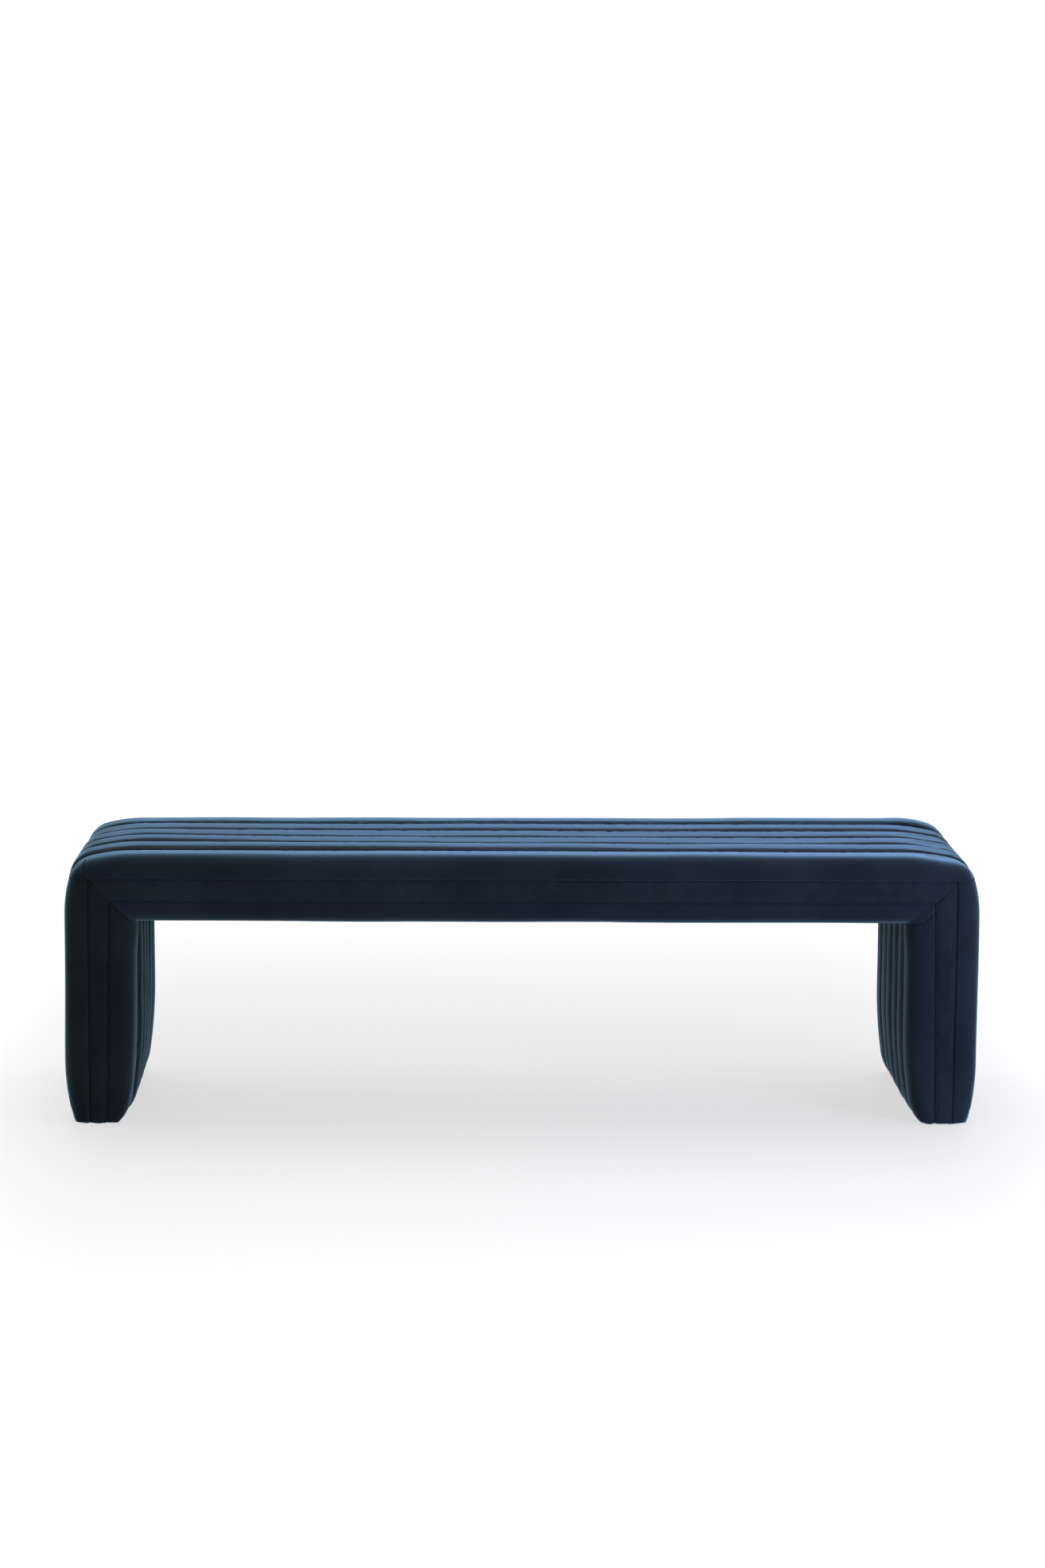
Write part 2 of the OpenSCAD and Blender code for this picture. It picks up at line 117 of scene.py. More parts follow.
cameraData = bpy.data.cameras.new("photoCamera")
cameraData.sensor_fit = "VERTICAL"
cameraData.sensor_height = cameraView["sensor"]
cameraData.lens = cameraView["focal"]
cameraData.clip_end = 100
photoCamera = bpy.data.objects.new("photoCamera", cameraData)
scene.collection.objects.link(photoCamera)
photoCamera.matrix_world = (
    Matrix.Translation(cameraView["place"])
    @ Matrix.Rotation(cameraView["turn"], 4, "Z")
    @ Matrix.Rotation(math.pi / 2 - cameraView["tilt"], 4, "X")
    @ Matrix.Rotation(cameraView["roll"], 4, "Z")
)
scene.camera = photoCamera


# A white sweep: flat floor that curves up into a wall well behind the bench.
studio = {
    "halfWidth": 14.0,
    "front": -12.0,
    "back": 7.0,
    "curve": 3.0,
    "curveSteps": 16,
    "wall": 9.0,
    "floorTone": (0.08, 0.08, 0.0805, 1),
    "floorRoughness": 0.8,
    "floorGlow": 0.86,    # the paper glows evenly, so real shadows stay faint
    "wallGlow": 1.1,
    "wallFrom": (2.0, 4.0),
    "shade": 0.24,        # painted shadow: how much the glow is dimmed round the bench
    "shadeX": (0.62, 1.10),
    "shadeFront": (-1.9, 0.25),
    "shadeBack": (0.25, 2.3),
    "skyBehind": 2.1,   # the room is bright behind the bench and dim on the camera's side
    "skyBefore": 0.34,
    "skyTurn": (-0.55, 0.45),
    "lamps": {
        "overhead": {"place": (0.1, 0.6, 2.8), "aim": (0, 0, 0.4), "size": (4.4, 2.6), "power": 45,
                     "tone": (1, 1, 1)},
        "fromTheRight": {"place": (2.1, -1.7, 0.9), "aim": (0.7, 0, 0.2), "size": (0.8, 0.8), "power": 46,
                         "tone": (1.0, 1.0, 1.6)},
    },
}
white = (1, 1, 1, 1)


def easedRange(tree, source, start, end, low, high):
    node = addNode(tree, "MapRange", {"From Min": start, "From Max": end, "To Min": low, "To Max": high},
                   interpolation_type="SMOOTHSTEP")
    tree.links.new(source, node.inputs["Value"])
    return node.outputs["Result"]


def combine(tree, operation, *parts):
    node = addNode(tree, "Math", operation=operation)
    for socket, part in zip(node.inputs, parts):
        if isinstance(part, (int, float)):
            socket.default_value = part
        else:
            tree.links.new(part, socket)
    return node.outputs["Value"]


def makePaper():
    paper, tree, shader, coords = startMaterial("paperWhite")
    setInputs(shader, {"Base Color": studio["floorTone"], "Roughness": studio["floorRoughness"],
                       "Emission Color": white})
    parts = addNode(tree, "SeparateXYZ")
    connect(tree, (coords, "Object", parts, "Vector"))
    x, y = parts.outputs["X"], parts.outputs["Y"]
    # Painted shadow: the glow is dimmed in a soft patch under and beside the bench.
    across = easedRange(tree, combine(tree, "ABSOLUTE", x), *studio["shadeX"], 1.0, 0.0)
    front = easedRange(tree, y, *studio["shadeFront"], 0.0, 1.0)
    back = easedRange(tree, y, *studio["shadeBack"], 1.0, 0.0)
    shade = combine(tree, "MULTIPLY", across, combine(tree, "MULTIPLY", front, back))
    glow = easedRange(tree, y, *studio["wallFrom"], studio["floorGlow"], studio["wallGlow"])
    paintedShadow = combine(tree, "MULTIPLY", shade, studio["shade"])
    tree.links.new(combine(tree, "SUBTRACT", glow, paintedShadow), shader.inputs["Emission Strength"])
    return paper


def buildFloor():
    bm = bmesh.new()
    ends = [bm.verts.new((side * studio["halfWidth"], studio["front"], 0)) for side in (-1, 1)]
    ends, edges = extrudeEdges(bm, [bm.edges.new(ends)])
    bmesh.ops.translate(bm, verts=ends, vec=(0, studio["back"] - studio["front"], 0))
    turned = bmesh.ops.spin(
        bm, geom=ends + edges, cent=(0, studio["back"], studio["curve"]), axis=(1, 0, 0),
        angle=math.pi / 2, steps=studio["curveSteps"], use_merge=False)["geom_last"]
    ends, edges = extrudeEdges(bm, [e for e in turned if isinstance(e, bmesh.types.BMEdge)])
    bmesh.ops.translate(bm, verts=ends, vec=(0, 0, studio["wall"]))
    floor = finishMesh(bm, "floor", smooth=True)
    floor.data.materials.append(makePaper())


def addSoftLight(name, lamp):
    data = bpy.data.lights.new(name, "AREA")
    data.shape = "RECTANGLE"
    data.size, data.size_y = lamp["size"]
    data.energy = lamp["power"]
    data.color = lamp["tone"]
    light = bpy.data.objects.new(name, data)
    scene.collection.objects.link(light)
    light.location = lamp["place"]
    towards = Vector(lamp["aim"]) - Vector(lamp["place"])
    light.rotation_euler = towards.to_track_quat("-Z", "Y").to_euler()


def fillAir():
    world = bpy.data.worlds.new("studioAir")
    world.use_nodes = True
    air = world.node_tree
    background = air.nodes["Background"]
    background.inputs["Color"].default_value = white
    direction, parts, path = (addNode(air, kind) for kind in ("TexCoord", "SeparateXYZ", "LightPath"))
    seen = addNode(air, "Mix", {"B": 1.0})   # the camera itself sees plain white
    glow = easedRange(air, parts.outputs["Y"], *studio["skyTurn"], studio["skyBefore"], studio["skyBehind"])
    connect(air, (direction, "Generated", parts, "Vector"), (path, "Is Camera Ray", seen, "Factor"),
            (seen, "Result", background, "Strength"))
    air.links.new(glow, seen.inputs["A"])
    scene.world = world


buildFloor()
fillAir()
for name, lamp in studio["lamps"].items():
    addSoftLight(name, lamp)
scene.view_settings.view_transform = "Standard"
print("stage: camera, floor and light")


# Shape of the bench, in metres and degrees, as the CAD has it.
bench = {
    "seatThick": 0.120,
    "legThick": 0.126,
    "channels": 6,
    "shoulderRadius": 0.250,
    "shoulderTurn": 15,
    "cornerRadius": 0.049,
    "cornerFiner": 0.6,   # the tight round has shorter steps
    "innerCorner": 0.006,
    "innerStep": 0.0012,
    "taperHeight": 0.106,
    "taperRadius": 0.400,
    "heelHeight": 0.164,
    "heelRadius": 0.860,
    "heelMiddle": 0.040,
    "heelEnd": 0.080,
    "footGap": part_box("front_outer_roll")[0].z,
    "seamOut": (0.0435, 0.046),   # outer face seam: in from the end, down from the top
    "seamIn": (0.081, 0.084),    # inner face seam
    "seamOutLean": 0.0015,   # the legs' seams draw together towards the foot
    "seamInLean": 0.0055,
    "facePad": 0.015,
    "seamTuck": 0.005,
    "gap": 0.0003,
}
halfLength, halfDepth, topHeight = cadHigh.x, cadHigh.y, cadHigh.z
innerX = halfLength - bench["legThick"]
underHeight = topHeight - bench["seatThick"]
pitch = 2 * halfDepth / bench["channels"]
rollSeamY = halfDepth - pitch
faceY = halfDepth - bench["facePad"]
mirrorX = Vector((-1, 1, 1))


def inXZ(x, z):
    return Vector((x, 0, z))


def clamp(value, low=0, high=1):
    return max(low, min(high, value))


def smoothStep(share):
    return share * share * (3 - 2 * share)


def stepsBetween(start, end, step):
    count = max(1, round(abs(end - start) / step))
    return [start + (end - start) * i / count for i in range(count + 1)]


def turnedFromUp(angle):
    return inXZ(math.sin(math.radians(angle)), math.cos(math.radians(angle)))


def arcPoints(centre, radius, start, end, step):
    count = max(2, round(radius * math.radians(abs(end - start)) / step))
    angles = [start + (end - start) * i / count for i in range(count + 1)]
    return [(centre + radius * turnedFromUp(a), a) for a in angles]


def outerXAt(z):
    below = max(0, bench["taperHeight"] - z)
    return halfLength - (bench["taperRadius"] - math.sqrt(bench["taperRadius"] ** 2 - below ** 2))


def innerXAt(z):
    turn = math.asin((bench["heelHeight"] - bench["heelMiddle"]) / bench["heelRadius"])
    if z >= bench["heelHeight"]:
        return innerX
    if z > bench["heelMiddle"]:
        a = math.asin((bench["heelHeight"] - z) / bench["heelRadius"])
        return innerX + bench["heelRadius"] * (1 - math.cos(a))
    a = math.asin(math.sin(turn) + (bench["heelMiddle"] - z) / bench["heelEnd"])
    return (innerX + bench["heelRadius"] * (1 - math.cos(turn))
            + bench["heelEnd"] * (math.cos(turn) - math.cos(a)))


# Corner of the outside: a gentle shoulder, a tight round and a second shoulder.
shoulderTurn = bench["shoulderTurn"]
shoulderSine, shoulderCosine = math.sin(math.radians(shoulderTurn)), math.cos(math.radians(shoulderTurn))
cornerReach = (bench["shoulderRadius"] * (shoulderSine + 1 - shoulderCosine)
               + bench["cornerRadius"] * (shoulderCosine - shoulderSine))
shoulderCentre = inXZ(halfLength - cornerReach, topHeight - bench["shoulderRadius"])
radiusStep = bench["shoulderRadius"] - bench["cornerRadius"]
cornerCentre = shoulderCentre + radiusStep * turnedFromUp(shoulderTurn)
sideCentre = cornerCentre - radiusStep * turnedFromUp(90 - shoulderTurn)
underCentre = inXZ(innerX - bench["innerCorner"], underHeight - bench["innerCorner"])
seamOut = inXZ(halfLength - bench["seamOut"][0], topHeight - bench["seamOut"][1])
seamIn = inXZ(halfLength - bench["seamIn"][0], topHeight - bench["seamIn"][1])


def seamOutAt(z):
    return inXZ(seamOut.x - bench["seamOutLean"] * (seamOut.z - z) / (seamOut.z - bench["footGap"]), z)


def seamInAt(z):
    return inXZ(seamIn.x + bench["seamInLean"] * (seamIn.z - z) / (seamIn.z - bench["footGap"]), z)


# A path holds stations: where the crest is, which way the padding lies, how deep the face seam is
# and how far along the path it is. Half a path goes from the middle of the seat down the right leg.
def cornerArc(step):
    turned = 90 - shoulderTurn
    finer = step * bench["cornerFiner"]
    return (arcPoints(shoulderCentre, bench["shoulderRadius"], 0, shoulderTurn, step)
            + arcPoints(cornerCentre, bench["cornerRadius"], shoulderTurn, turned, finer)[1:]
            + arcPoints(sideCentre, bench["shoulderRadius"], turned, 90, step)[1:])


def underArc():
    return arcPoints(underCentre, bench["innerCorner"], 0, 90, bench["innerStep"])


def fanTowards(arc, seam, seamAt):
    # Where each point of a corner aims on its face seam, so that the cloth fans out evenly.
    first, last, middle = arc[0][0], arc[-1][0], arc[(len(arc) - 1) // 2][0]
    aims = []
    for p, angle in arc:
        if angle <= 45:
            share = (p.x - first.x) / (middle.x - first.x)
            aims.append(inXZ(first.x + (seam.x - first.x) * share, seam.z))
        else:
            share = (p.z - last.z) / (middle.z - last.z)
            aims.append(seamAt(last.z + (seam.z - last.z) * share))
    return aims


def makePath(arc, sideXAt, outwards, seam, seamAt, step, fanned):
    stations = []
    start, endZ = arc[0][0], arc[-1][0].z
    for x in stepsBetween(0, start.x, step)[:-1]:
        stations.append((inXZ(x, start.z), inXZ(0, -outwards), abs(start.z - seam.z)))
    for (p, angle), aim in zip(arc, fanTowards(arc, seam, seamAt)):
        inward = (aim - p).normalized() if fanned else -outwards * turnedFromUp(angle)
        stations.append((p, inward, (aim - p).length))
    for z in stepsBetween(endZ, bench["footGap"], step)[1:]:
        p = inXZ(sideXAt(z), z)
        stations.append((p, inXZ(-outwards, 0), (seamAt(z) - p).length))
    half, along = [], 0.0
    for i, (p, inward, depth) in enumerate(stations):
        if i:
            along += (p - stations[i - 1][0]).length
        half.append({"at": p, "inward": inward, "seam": depth, "along": along})
    other = [{"at": s["at"] * mirrorX, "inward": s["inward"] * mirrorX, "seam": s["seam"],
              "along": -s["along"]} for s in half[1:]]
    return other[::-1] + half


def outerPath(step, fanned):
    return makePath(cornerArc(step), outerXAt, 1, seamOut, seamOutAt, step, fanned)


def innerPath(step, fanned):
    return makePath(underArc(), innerXAt, -1, seamIn, seamInAt, step, fanned)


# Sewn seams wander by a millimetre or so, and both neighbours of a seam follow the same line. A noise is
# given as waves per metre, the step from one piece to the next, and a start of its own. Channels and
# rolls are numbered 0 to 5 outside from the front, and 20 to 25 inside.
wander = {
    "seamSwing": 0.0013,
    "seamNoise": (4.3, 7.31, 0.4),
    "crestSwing": 0.0008,
    "crestNoise": (5.1, 5.17, 3.7),
    "crestSpan": 1.4,
    "beforeSwelling": 0.0012,   # the cloth pass brings this back
    # How far a crest lies off its nominal height on the left and on the right, front roll first.
    "crestOff": {0: (0.0, 0.0004), 1: (-0.0002, -0.0006), 2: (0.0, -0.0010), 3: (-0.0016, -0.0014),
                 4: (-0.0028, -0.0008), 5: (-0.0016, 0.0014), 20: (-0.0012, 0.0003)},
    # How far the top of each channel has sunk from use: left, middle and right, front roll first.
    "sunk": {0: (0.0022, 0.0032, 0.0036), 1: (0.0009, 0.0028, 0.0035), 2: (0.0010, 0.0058, 0.0038),
             3: (0.0020, 0.0047, 0.0026), 4: (0.0020, 0.0028, 0.0020)},
    "sunkTo": (0.69, 0.80),
    "sunkSpan": 0.6,
    # By the left and right shoulder the channels sink a little more; at the right the back roll stands up.
    "shoulder": {0: (0.0010, 0.0036), 1: (0.0022, 0.0028), 2: (0.0018, 0.0040), 3: (0.0024, 0.0034),
                 4: (0.0018, 0.0030), 5: (0.0, -0.0018)},
    "shoulderAt": (0.695, 0.062),
    # How far a crest lies below its nominal place inside the left and the right leg.
    "legSunk": {20: (0.0038, 0.0026), 21: (-0.0010, -0.0004), 22: (-0.0006, 0.0)},
    "legSunkFrom": (0.645, 0.70),
    "puckerDepth": 0.0007,
    "puckerNoise": (95.0, 3.9, 11.3),
    "puckerFade": (9, 2.3, 4.1),
    "puckerLeast": 0.6,
    "insideKey": 20,
    "outwardKey": 40,   # a roll's outward wander is read this far from its own
}


def drift(along, key, pattern, side=1):
    wave, apart, start = pattern
    return noise.noise(Vector((along * wave, key * apart, side * start)))


def seamShift(seamNumber, along):
    return wander["seamSwing"] * 2 * drift(along, seamNumber, wander["seamNoise"])


def crestShift(piece, along):
    left, right = wander["crestOff"].get(piece, (0.0, 0.0))
    share = clamp(along / wander["crestSpan"] + 0.5)
    left, right = left - wander["beforeSwelling"], right - wander["beforeSwelling"]
    swing = wander["crestSwing"] * 2 * drift(along, piece, wander["crestNoise"])
    return left + (right - left) * share + swing - sunkBy(piece, along)


def sunkBy(piece, along):
    hand = 0 if along < 0 else 1
    left, middle, right = wander["sunk"].get(piece, (0.0, 0.0, 0.0))
    start, end = wander["sunkTo"]
    fade = clamp((end - abs(along)) / (end - start))
    t = clamp(along / wander["sunkSpan"], -1)
    amount = middle + (right - left) / 2 * t + ((left + right) / 2 - middle) * t * t
    amount *= smoothStep(fade)
    place, reach = wander["shoulderAt"]
    atShoulder = max(0, 1 - ((abs(along) - place) / reach) ** 2) ** 2
    amount += wander["shoulder"].get(piece, (0.0, 0.0))[hand] * atShoulder
    start, end = wander["legSunkFrom"]
    grow = clamp((abs(along) - start) / (end - start))
    return amount + wander["legSunk"].get(piece, (0.0, 0.0))[hand] * smoothStep(grow)


def pucker(piece, side, along):
    quick = wander["puckerDepth"] * drift(along, piece, wander["puckerNoise"], side)
    return quick * (wander["puckerLeast"] + drift(along, piece, wander["puckerFade"], side))


def keyOf(number, kind):
    return number + (0 if kind == "outer" else wander["insideKey"])


# A tube is built from one ring of vertices that is extruded from station to station.
def sweepTube(name, rings, seamNear):
    bm = bmesh.new()
    spot = bm.verts.layers.int.new("spot")
    near = bm.verts.layers.float.new("seamNear")
    ring = bmesh.ops.create_circle(bm, cap_ends=False, segments=len(rings[0]), radius=0.01)["verts"]
    for i, v in enumerate(ring):
        v[spot] = i
        v[near] = seamNear[i]
        v.co = rings[0][i]
    edges = bm.edges[:]
    for places in rings[1:]:
        fresh, edges = extrudeEdges(bm, edges)
        for v in fresh:
            v.co = places[v[spot]]
    bmesh.ops.holes_fill(bm, edges=[e for e in bm.edges if e.is_boundary], sides=0)
    return finishMesh(bm, name, smooth=True)


def placeRing(station, section, side):
    at, inward = station["at"], station["inward"]
    return [Vector((at.x + inward.x * d, side * y, at.z + inward.z * d)) for y, d in section]


def seamDistances(ring, firstSeam):
    # How far each point of a ring lies from the nearer of its two seams, along the cloth.
    count = len(ring)
    lastSeam = count - 2
    passed = [0.0] * count
    for i in range(firstSeam + 1, lastSeam + 1):
        passed[i] = passed[i - 1] + (ring[i] - ring[i - 1]).length
    return [min(passed[i], passed[lastSeam] - passed[i]) if firstSeam < i < lastSeam else 0.0
            for i in range(count)]


velvetPieces = []


def dress(piece, node):
    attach(piece, "root")
    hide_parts(node)
    velvetPieces.append(piece)


# The quilted channels over the top and sides, and those under the seat and inside the legs.
channels = {
    "step": 0.007,
    "across": 26,
    # crown 2 is a half ellipse, more is flatter on top and steeper at the seams: front half, back half
    "outer": {"groove": 0.0125, "pad": 0.020, "crown": (3.6, 2.3)},
    "inner": {"groove": 0.0132, "pad": 0.015, "crown": (2.1, 2.1)},
}


def crownPoint(a, power):
    c, s = math.cos(a), math.sin(a)
    return math.copysign(abs(c) ** (2 / power), c), max(0, s) ** (2 / power)


def channelRings(path, number, kind):
    shape = channels[kind]
    halfWidth = (pitch - bench["gap"]) / 2
    middle = -halfDepth + (number + 0.5) * pitch
    key = keyOf(number, kind)
    count = channels["across"]
    rings = []
    for s in path:
        left, right = seamShift(key, s["along"]), seamShift(key + 1, s["along"])
        rise = crestShift(key, s["along"])
        puckers = pucker(key, 0, s["along"]), pucker(key, 1, s["along"])
        section = [(middle - halfWidth + left, shape["pad"])]
        for k in range(count + 1):
            half = 0 if k * 2 < count else 1
            sideways, up = crownPoint(math.pi * k / count, shape["crown"][half])
            share = (1 - sideways) / 2
            y = middle - halfWidth * sideways + left * (1 - share) + right * share
            depth = shape["groove"] * (1 - up) - rise * up ** 2
            section.append((y, depth + puckers[half] * (up * (1 - up) * 4)))
        section.append((middle + halfWidth + right, shape["pad"]))
        rings.append(placeRing(s, section, 1))
    return rings


outerStations = outerPath(channels["step"], False)
innerStations = innerPath(channels["step"], False)
for number in range(1, 5):
    for name, stations, kind, fill in (("top", outerStations, "outer", 0.85),
                                       ("under", innerStations, "inner", 0.75)):
        rings = channelRings(stations, number, kind)
        piece = sweepTube(f"{name}Channel{number}", rings, seamDistances(rings[0], 1))
        dress(piece, f"{kind}_channel_{number}")
print("stage: channels made")


# The edge rolls wrap the long edges of the seat and legs, from the last groove to the face seam.
rolls = {
    "step": 0.006,
    "tuckSteps": 8,
    "edgeSteps": 14,
    "riseSteps": 11,
    # -1 is the front roll and 1 the back one
    "outer": {"drop": {-1: 0.003, 1: 0.0015}, "groove": {-1: 0.0125, 1: 0.0095},
              "pad": 0.020, "tuck": 0.007},
    "inner": {"drop": {-1: 0.0, 1: 0.0}, "groove": {-1: 0.0095, 1: 0.0095},
              "pad": 0.015, "tuck": 0.010},
    "edgePower": 2.6,
    "risePower": {-1: 2.25, 1: 3.0},
    "tuckPower": 3.6,
}


def rollRings(path, kind, side):
    shape = rolls[kind]
    key = keyOf(0 if side < 0 else 5, kind)
    seamKey = keyOf(1 if side < 0 else 5, kind)
    crestY = halfDepth - pitch / 2
    startY = rollSeamY + bench["gap"] / 2
    rings = []
    for s in path:
        shift = side * seamShift(seamKey, s["along"])
        rise = crestShift(key, s["along"])
        out = crestShift(key + wander["outwardKey"], s["along"])
        firstPucker = pucker(key, 0, s["along"])
        lastPucker = pucker(key, 1, s["along"])
        back = min(shape["pad"], s["seam"] - 0.001)
        drop = shape["drop"][side]
        endD = s["seam"] - bench["gap"] / 2
        tuck = min(shape["tuck"], endD / 2)
        fullD = endD - tuck
        section = [(faceY, back), (faceY, endD)]
        for k in range(rolls["tuckSteps"] + 1):
            c, u = crownPoint(math.pi / 2 * (1 - k / rolls["tuckSteps"]), rolls["tuckPower"])
            y = halfDepth - bench["seamTuck"] * (1 - c) + (out + lastPucker * 2 * u * (1 - u)) * c
            section.append((y, endD - tuck * (1 - u)))
        for k in range(1, rolls["edgeSteps"] + 1):
            c, u = crownPoint(math.pi / 2 * (1 - k / rolls["edgeSteps"]), rolls["edgePower"])
            y = crestY + (halfDepth - crestY) * u + out * u ** 2
            section.append((y, drop + (fullD - drop) * (1 - c) - rise * c ** 2))
        for k in range(1, rolls["riseSteps"] + 1):
            c, u = crownPoint(math.pi / 2 * k / rolls["riseSteps"], rolls["risePower"][side])
            y = crestY - (crestY - startY) * u + shift * u ** 2
            depth = drop + (shape["groove"][side] - drop) * (1 - c) - rise * c ** 2
            section.append((y, depth + firstPucker * 4 * c * (1 - c)))
        section.append((startY + shift, back))
        rings.append(placeRing(s, section, side))
    return rings


outerFan = outerPath(rolls["step"], True)
innerFan = innerPath(rolls["step"], True)
for label, side in (("front", -1), ("back", 1)):
    for name, stations, kind, fill in (("Edge", outerFan, "outer", 0.9), ("Inner", innerFan, "inner", 0.8)):
        rings = rollRings(stations, kind, side)
        piece = sweepTube(f"{label}{name}Roll", rings, seamDistances(rings[len(rings) // 2], 2))
        dress(piece, f"{label}_{kind}_roll")
print("stage: edge rolls made")


# The flat strip between the two face seams, cut in three with mitres at the corners.
strips = {
    "step": 0.006,
    "across": 36,
    "crown": 0.0030,
    "crownPower": 5,
    "stitchInset": 0.0064,   # the seam allowance is stitched down beside one seam of each strip
    "stitchDip": 0.0011,
    "stitchWidth": 0.0013,
    "swellBy": 0.18,
    "swellNoise": (6, 3.1, 0.2),
    "ripple": 0.0004,
    "rippleNoise": (40, 2, 1),
    "keys": {-1: 60, 1: 70},
}


def stripRings(stations, side, key, stitched):
    # stitched is 0 for a stitch line by the outer seam, 1 for one by the inner seam.
    edgeY = halfDepth - bench["seamTuck"]
    rings = []
    along = 0.0
    for i, (a, b) in enumerate(stations):
        if i:
            along += ((a + b) / 2 - (stations[i - 1][0] + stations[i - 1][1]) / 2).length
        width = (b - a).length
        margin = bench["gap"] / 2 / width
        swell = 1 + strips["swellBy"] * drift(along, key, strips["swellNoise"])
        inset = width - strips["stitchInset"] if stitched else strips["stitchInset"]
        ring = [a.lerp(b, margin) + Vector((0, side * faceY, 0))]
        for k in range(strips["across"] + 1):
            v = margin + (1 - 2 * margin) * k / strips["across"]
            rise = 1 - abs(2 * v - 1) ** strips["crownPower"]
            y = edgeY + strips["crown"] * rise * swell
            y -= strips["stitchDip"] * math.exp(-((v * width - inset) / strips["stitchWidth"]) ** 2)
            y += strips["ripple"] * drift(along, v, strips["rippleNoise"], key)
            ring.append(a.lerp(b, v) + Vector((0, side * y, 0)))
        ring.append(a.lerp(b, 1 - margin) + Vector((0, side * faceY, 0)))
        rings.append(ring)
    return rings


def seatStations():
    back = inXZ(bench["gap"] / math.sqrt(2), 0)
    a, b = seamOut - back, seamIn - back
    steps = stepsBetween(0, 1, strips["step"] / (2 * a.x))
    return [((a * mirrorX).lerp(a, f), (b * mirrorX).lerp(b, f)) for f in steps]


def legStations(side):
    back = inXZ(0, bench["gap"] / math.sqrt(2))
    a, b = seamOut - back, seamIn - back
    flip = Vector((side, 1, 1))
    stations = []
    for f in stepsBetween(0, 1, strips["step"] / a.z):
        outerZ = a.z + (bench["footGap"] - a.z) * f
        innerZ = b.z + (bench["footGap"] - b.z) * f
        stations.append((seamOutAt(outerZ) * flip, seamInAt(innerZ) * flip))
    return stations


for label, side in (("front", -1), ("back", 1)):
    for end, hand in (("Seat", 0), ("Left", -1), ("Right", 1)):
        stations = legStations(hand) if hand else seatStations()
        rings = stripRings(stations, side, strips["keys"][side] + hand * 2, abs(hand))
        piece = sweepTube(f"{label}{end}Strip", rings, seamDistances(rings[0], 1))
        dress(piece, f"{label}_{end.lower()}_strip")
print("stage: face strips made")


# Foam inside: a seat slab, blocks that make the soft corners and thin sheets on the legs' sides.
foam = {
    "wall": 0.0203,        # crest to foam
    "sideThick": 0.0117,
    "cutEdge": 0.0012,
    "arcStep": 0.006,
    "sideStep": 0.012,
    "open": (0.80, 0.71, 0.46, 1),
    "shade": (0.62, 0.53, 0.31, 1),
    "cell": 900.0,
    "bump": (0.5, 0.0006),
}
foamPieces = []
sharpTurn = 0.6   # radians; an edge that turns more than this is softened


def softenEdges(bm, width):
    sharp = [e for e in bm.edges if len(e.link_faces) == 2 and e.calc_face_angle() > sharpTurn]
    bmesh.ops.bevel(bm, geom=sharp, offset=width, offset_type="OFFSET", affect="EDGES",
                    segments=2, profile=0.5, material=-1)


def foamBlock(name, node, outline):
    # Knife-cut foam: an outline in X and Z, extruded from the front to the back.
    low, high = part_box(node)
    bm = bmesh.new()
    corners = [bm.verts.new((p.x, low.y, p.z)) for p in outline]
    edges = [bm.edges.new((a, b)) for a, b in zip(corners, corners[1:] + corners[:1])]
    bmesh.ops.holes_fill(bm, edges=edges, sides=0)
    grown = bmesh.ops.extrude_face_region(bm, geom=bm.faces[:])["geom"]
    ends = [v for v in grown if isinstance(v, bmesh.types.BMVert)]
    bmesh.ops.translate(bm, verts=ends, vec=(0, high.y - low.y, 0))
    softenEdges(bm, foam["cutEdge"])
    piece = finishMesh(bm, name)
    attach(piece, "root")
    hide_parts(node)
    foamPieces.append(piece)


def sideways(outline, side):
    return [inXZ(p.x * side, p.z) for p in outline]


seatLow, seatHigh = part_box("seat_foam")
foamBlock("seatFoam", "seat_foam", [
    inXZ(seatLow.x, seatLow.z), inXZ(seatHigh.x, seatLow.z),
    inXZ(seatHigh.x, seatHigh.z), inXZ(seatLow.x, seatHigh.z)])
panelX = halfLength - foam["wall"] - foam["sideThick"]
arc = [p - foam["wall"] * turnedFromUp(a) for p, a in cornerArc(foam["arcStep"])]
cornerLine = arc + [inXZ(panelX, arc[-1].z), inXZ(panelX, seatLow.z), inXZ(arc[0].x, seatLow.z)]
heights = stepsBetween(arc[-1].z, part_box("right_side_foam")[0].z, foam["sideStep"])
outerLine = [inXZ(outerXAt(z) - foam["wall"], z) for z in heights]
innerLine = [p - inXZ(foam["sideThick"], 0) for p in outerLine]
for label, side in (("left", -1), ("right", 1)):
    foamBlock(f"{label}CornerFoam", f"{label}_corner_foam", sideways(cornerLine, side))
    foamBlock(f"{label}SideFoam", f"{label}_side_foam", sideways(outerLine + innerLine[::-1], side))
print("stage: foam made")


# Black dust covers under the legs, edges turned under and stapled to the foot boards.
dustCover = {
    "hem": 0.008,
    "fold": 0.0005,       # how far the hem lies above the sheet
    "thick": 0.0003,
    "sag": 0.00012,
    "nailHole": 0.0017,
    "across": 6,
    "along": 52,
    "close": 1e-5,         # how near a point of the hem's fold lies to the edge
    "sagWave": 60,
    "staplePitch": 0.055,
    "stapleSize": (0.0105, 0.0011, 0.0005),
    "stapleLeg": 0.006,
    "stapleInset": 0.004,
    "stapleLean": 7,       # degrees
    "stapleSoft": 0.25,
    "fibres": {"Deep": (0.010, 0.010, 0.011, 1), "Light": (0.030, 0.030, 0.033, 1),
               "Patches": 420.0, "Tooth": 1500.0, "Contrast": 2.0},
    "bump": (0.6, 0.0003),
}


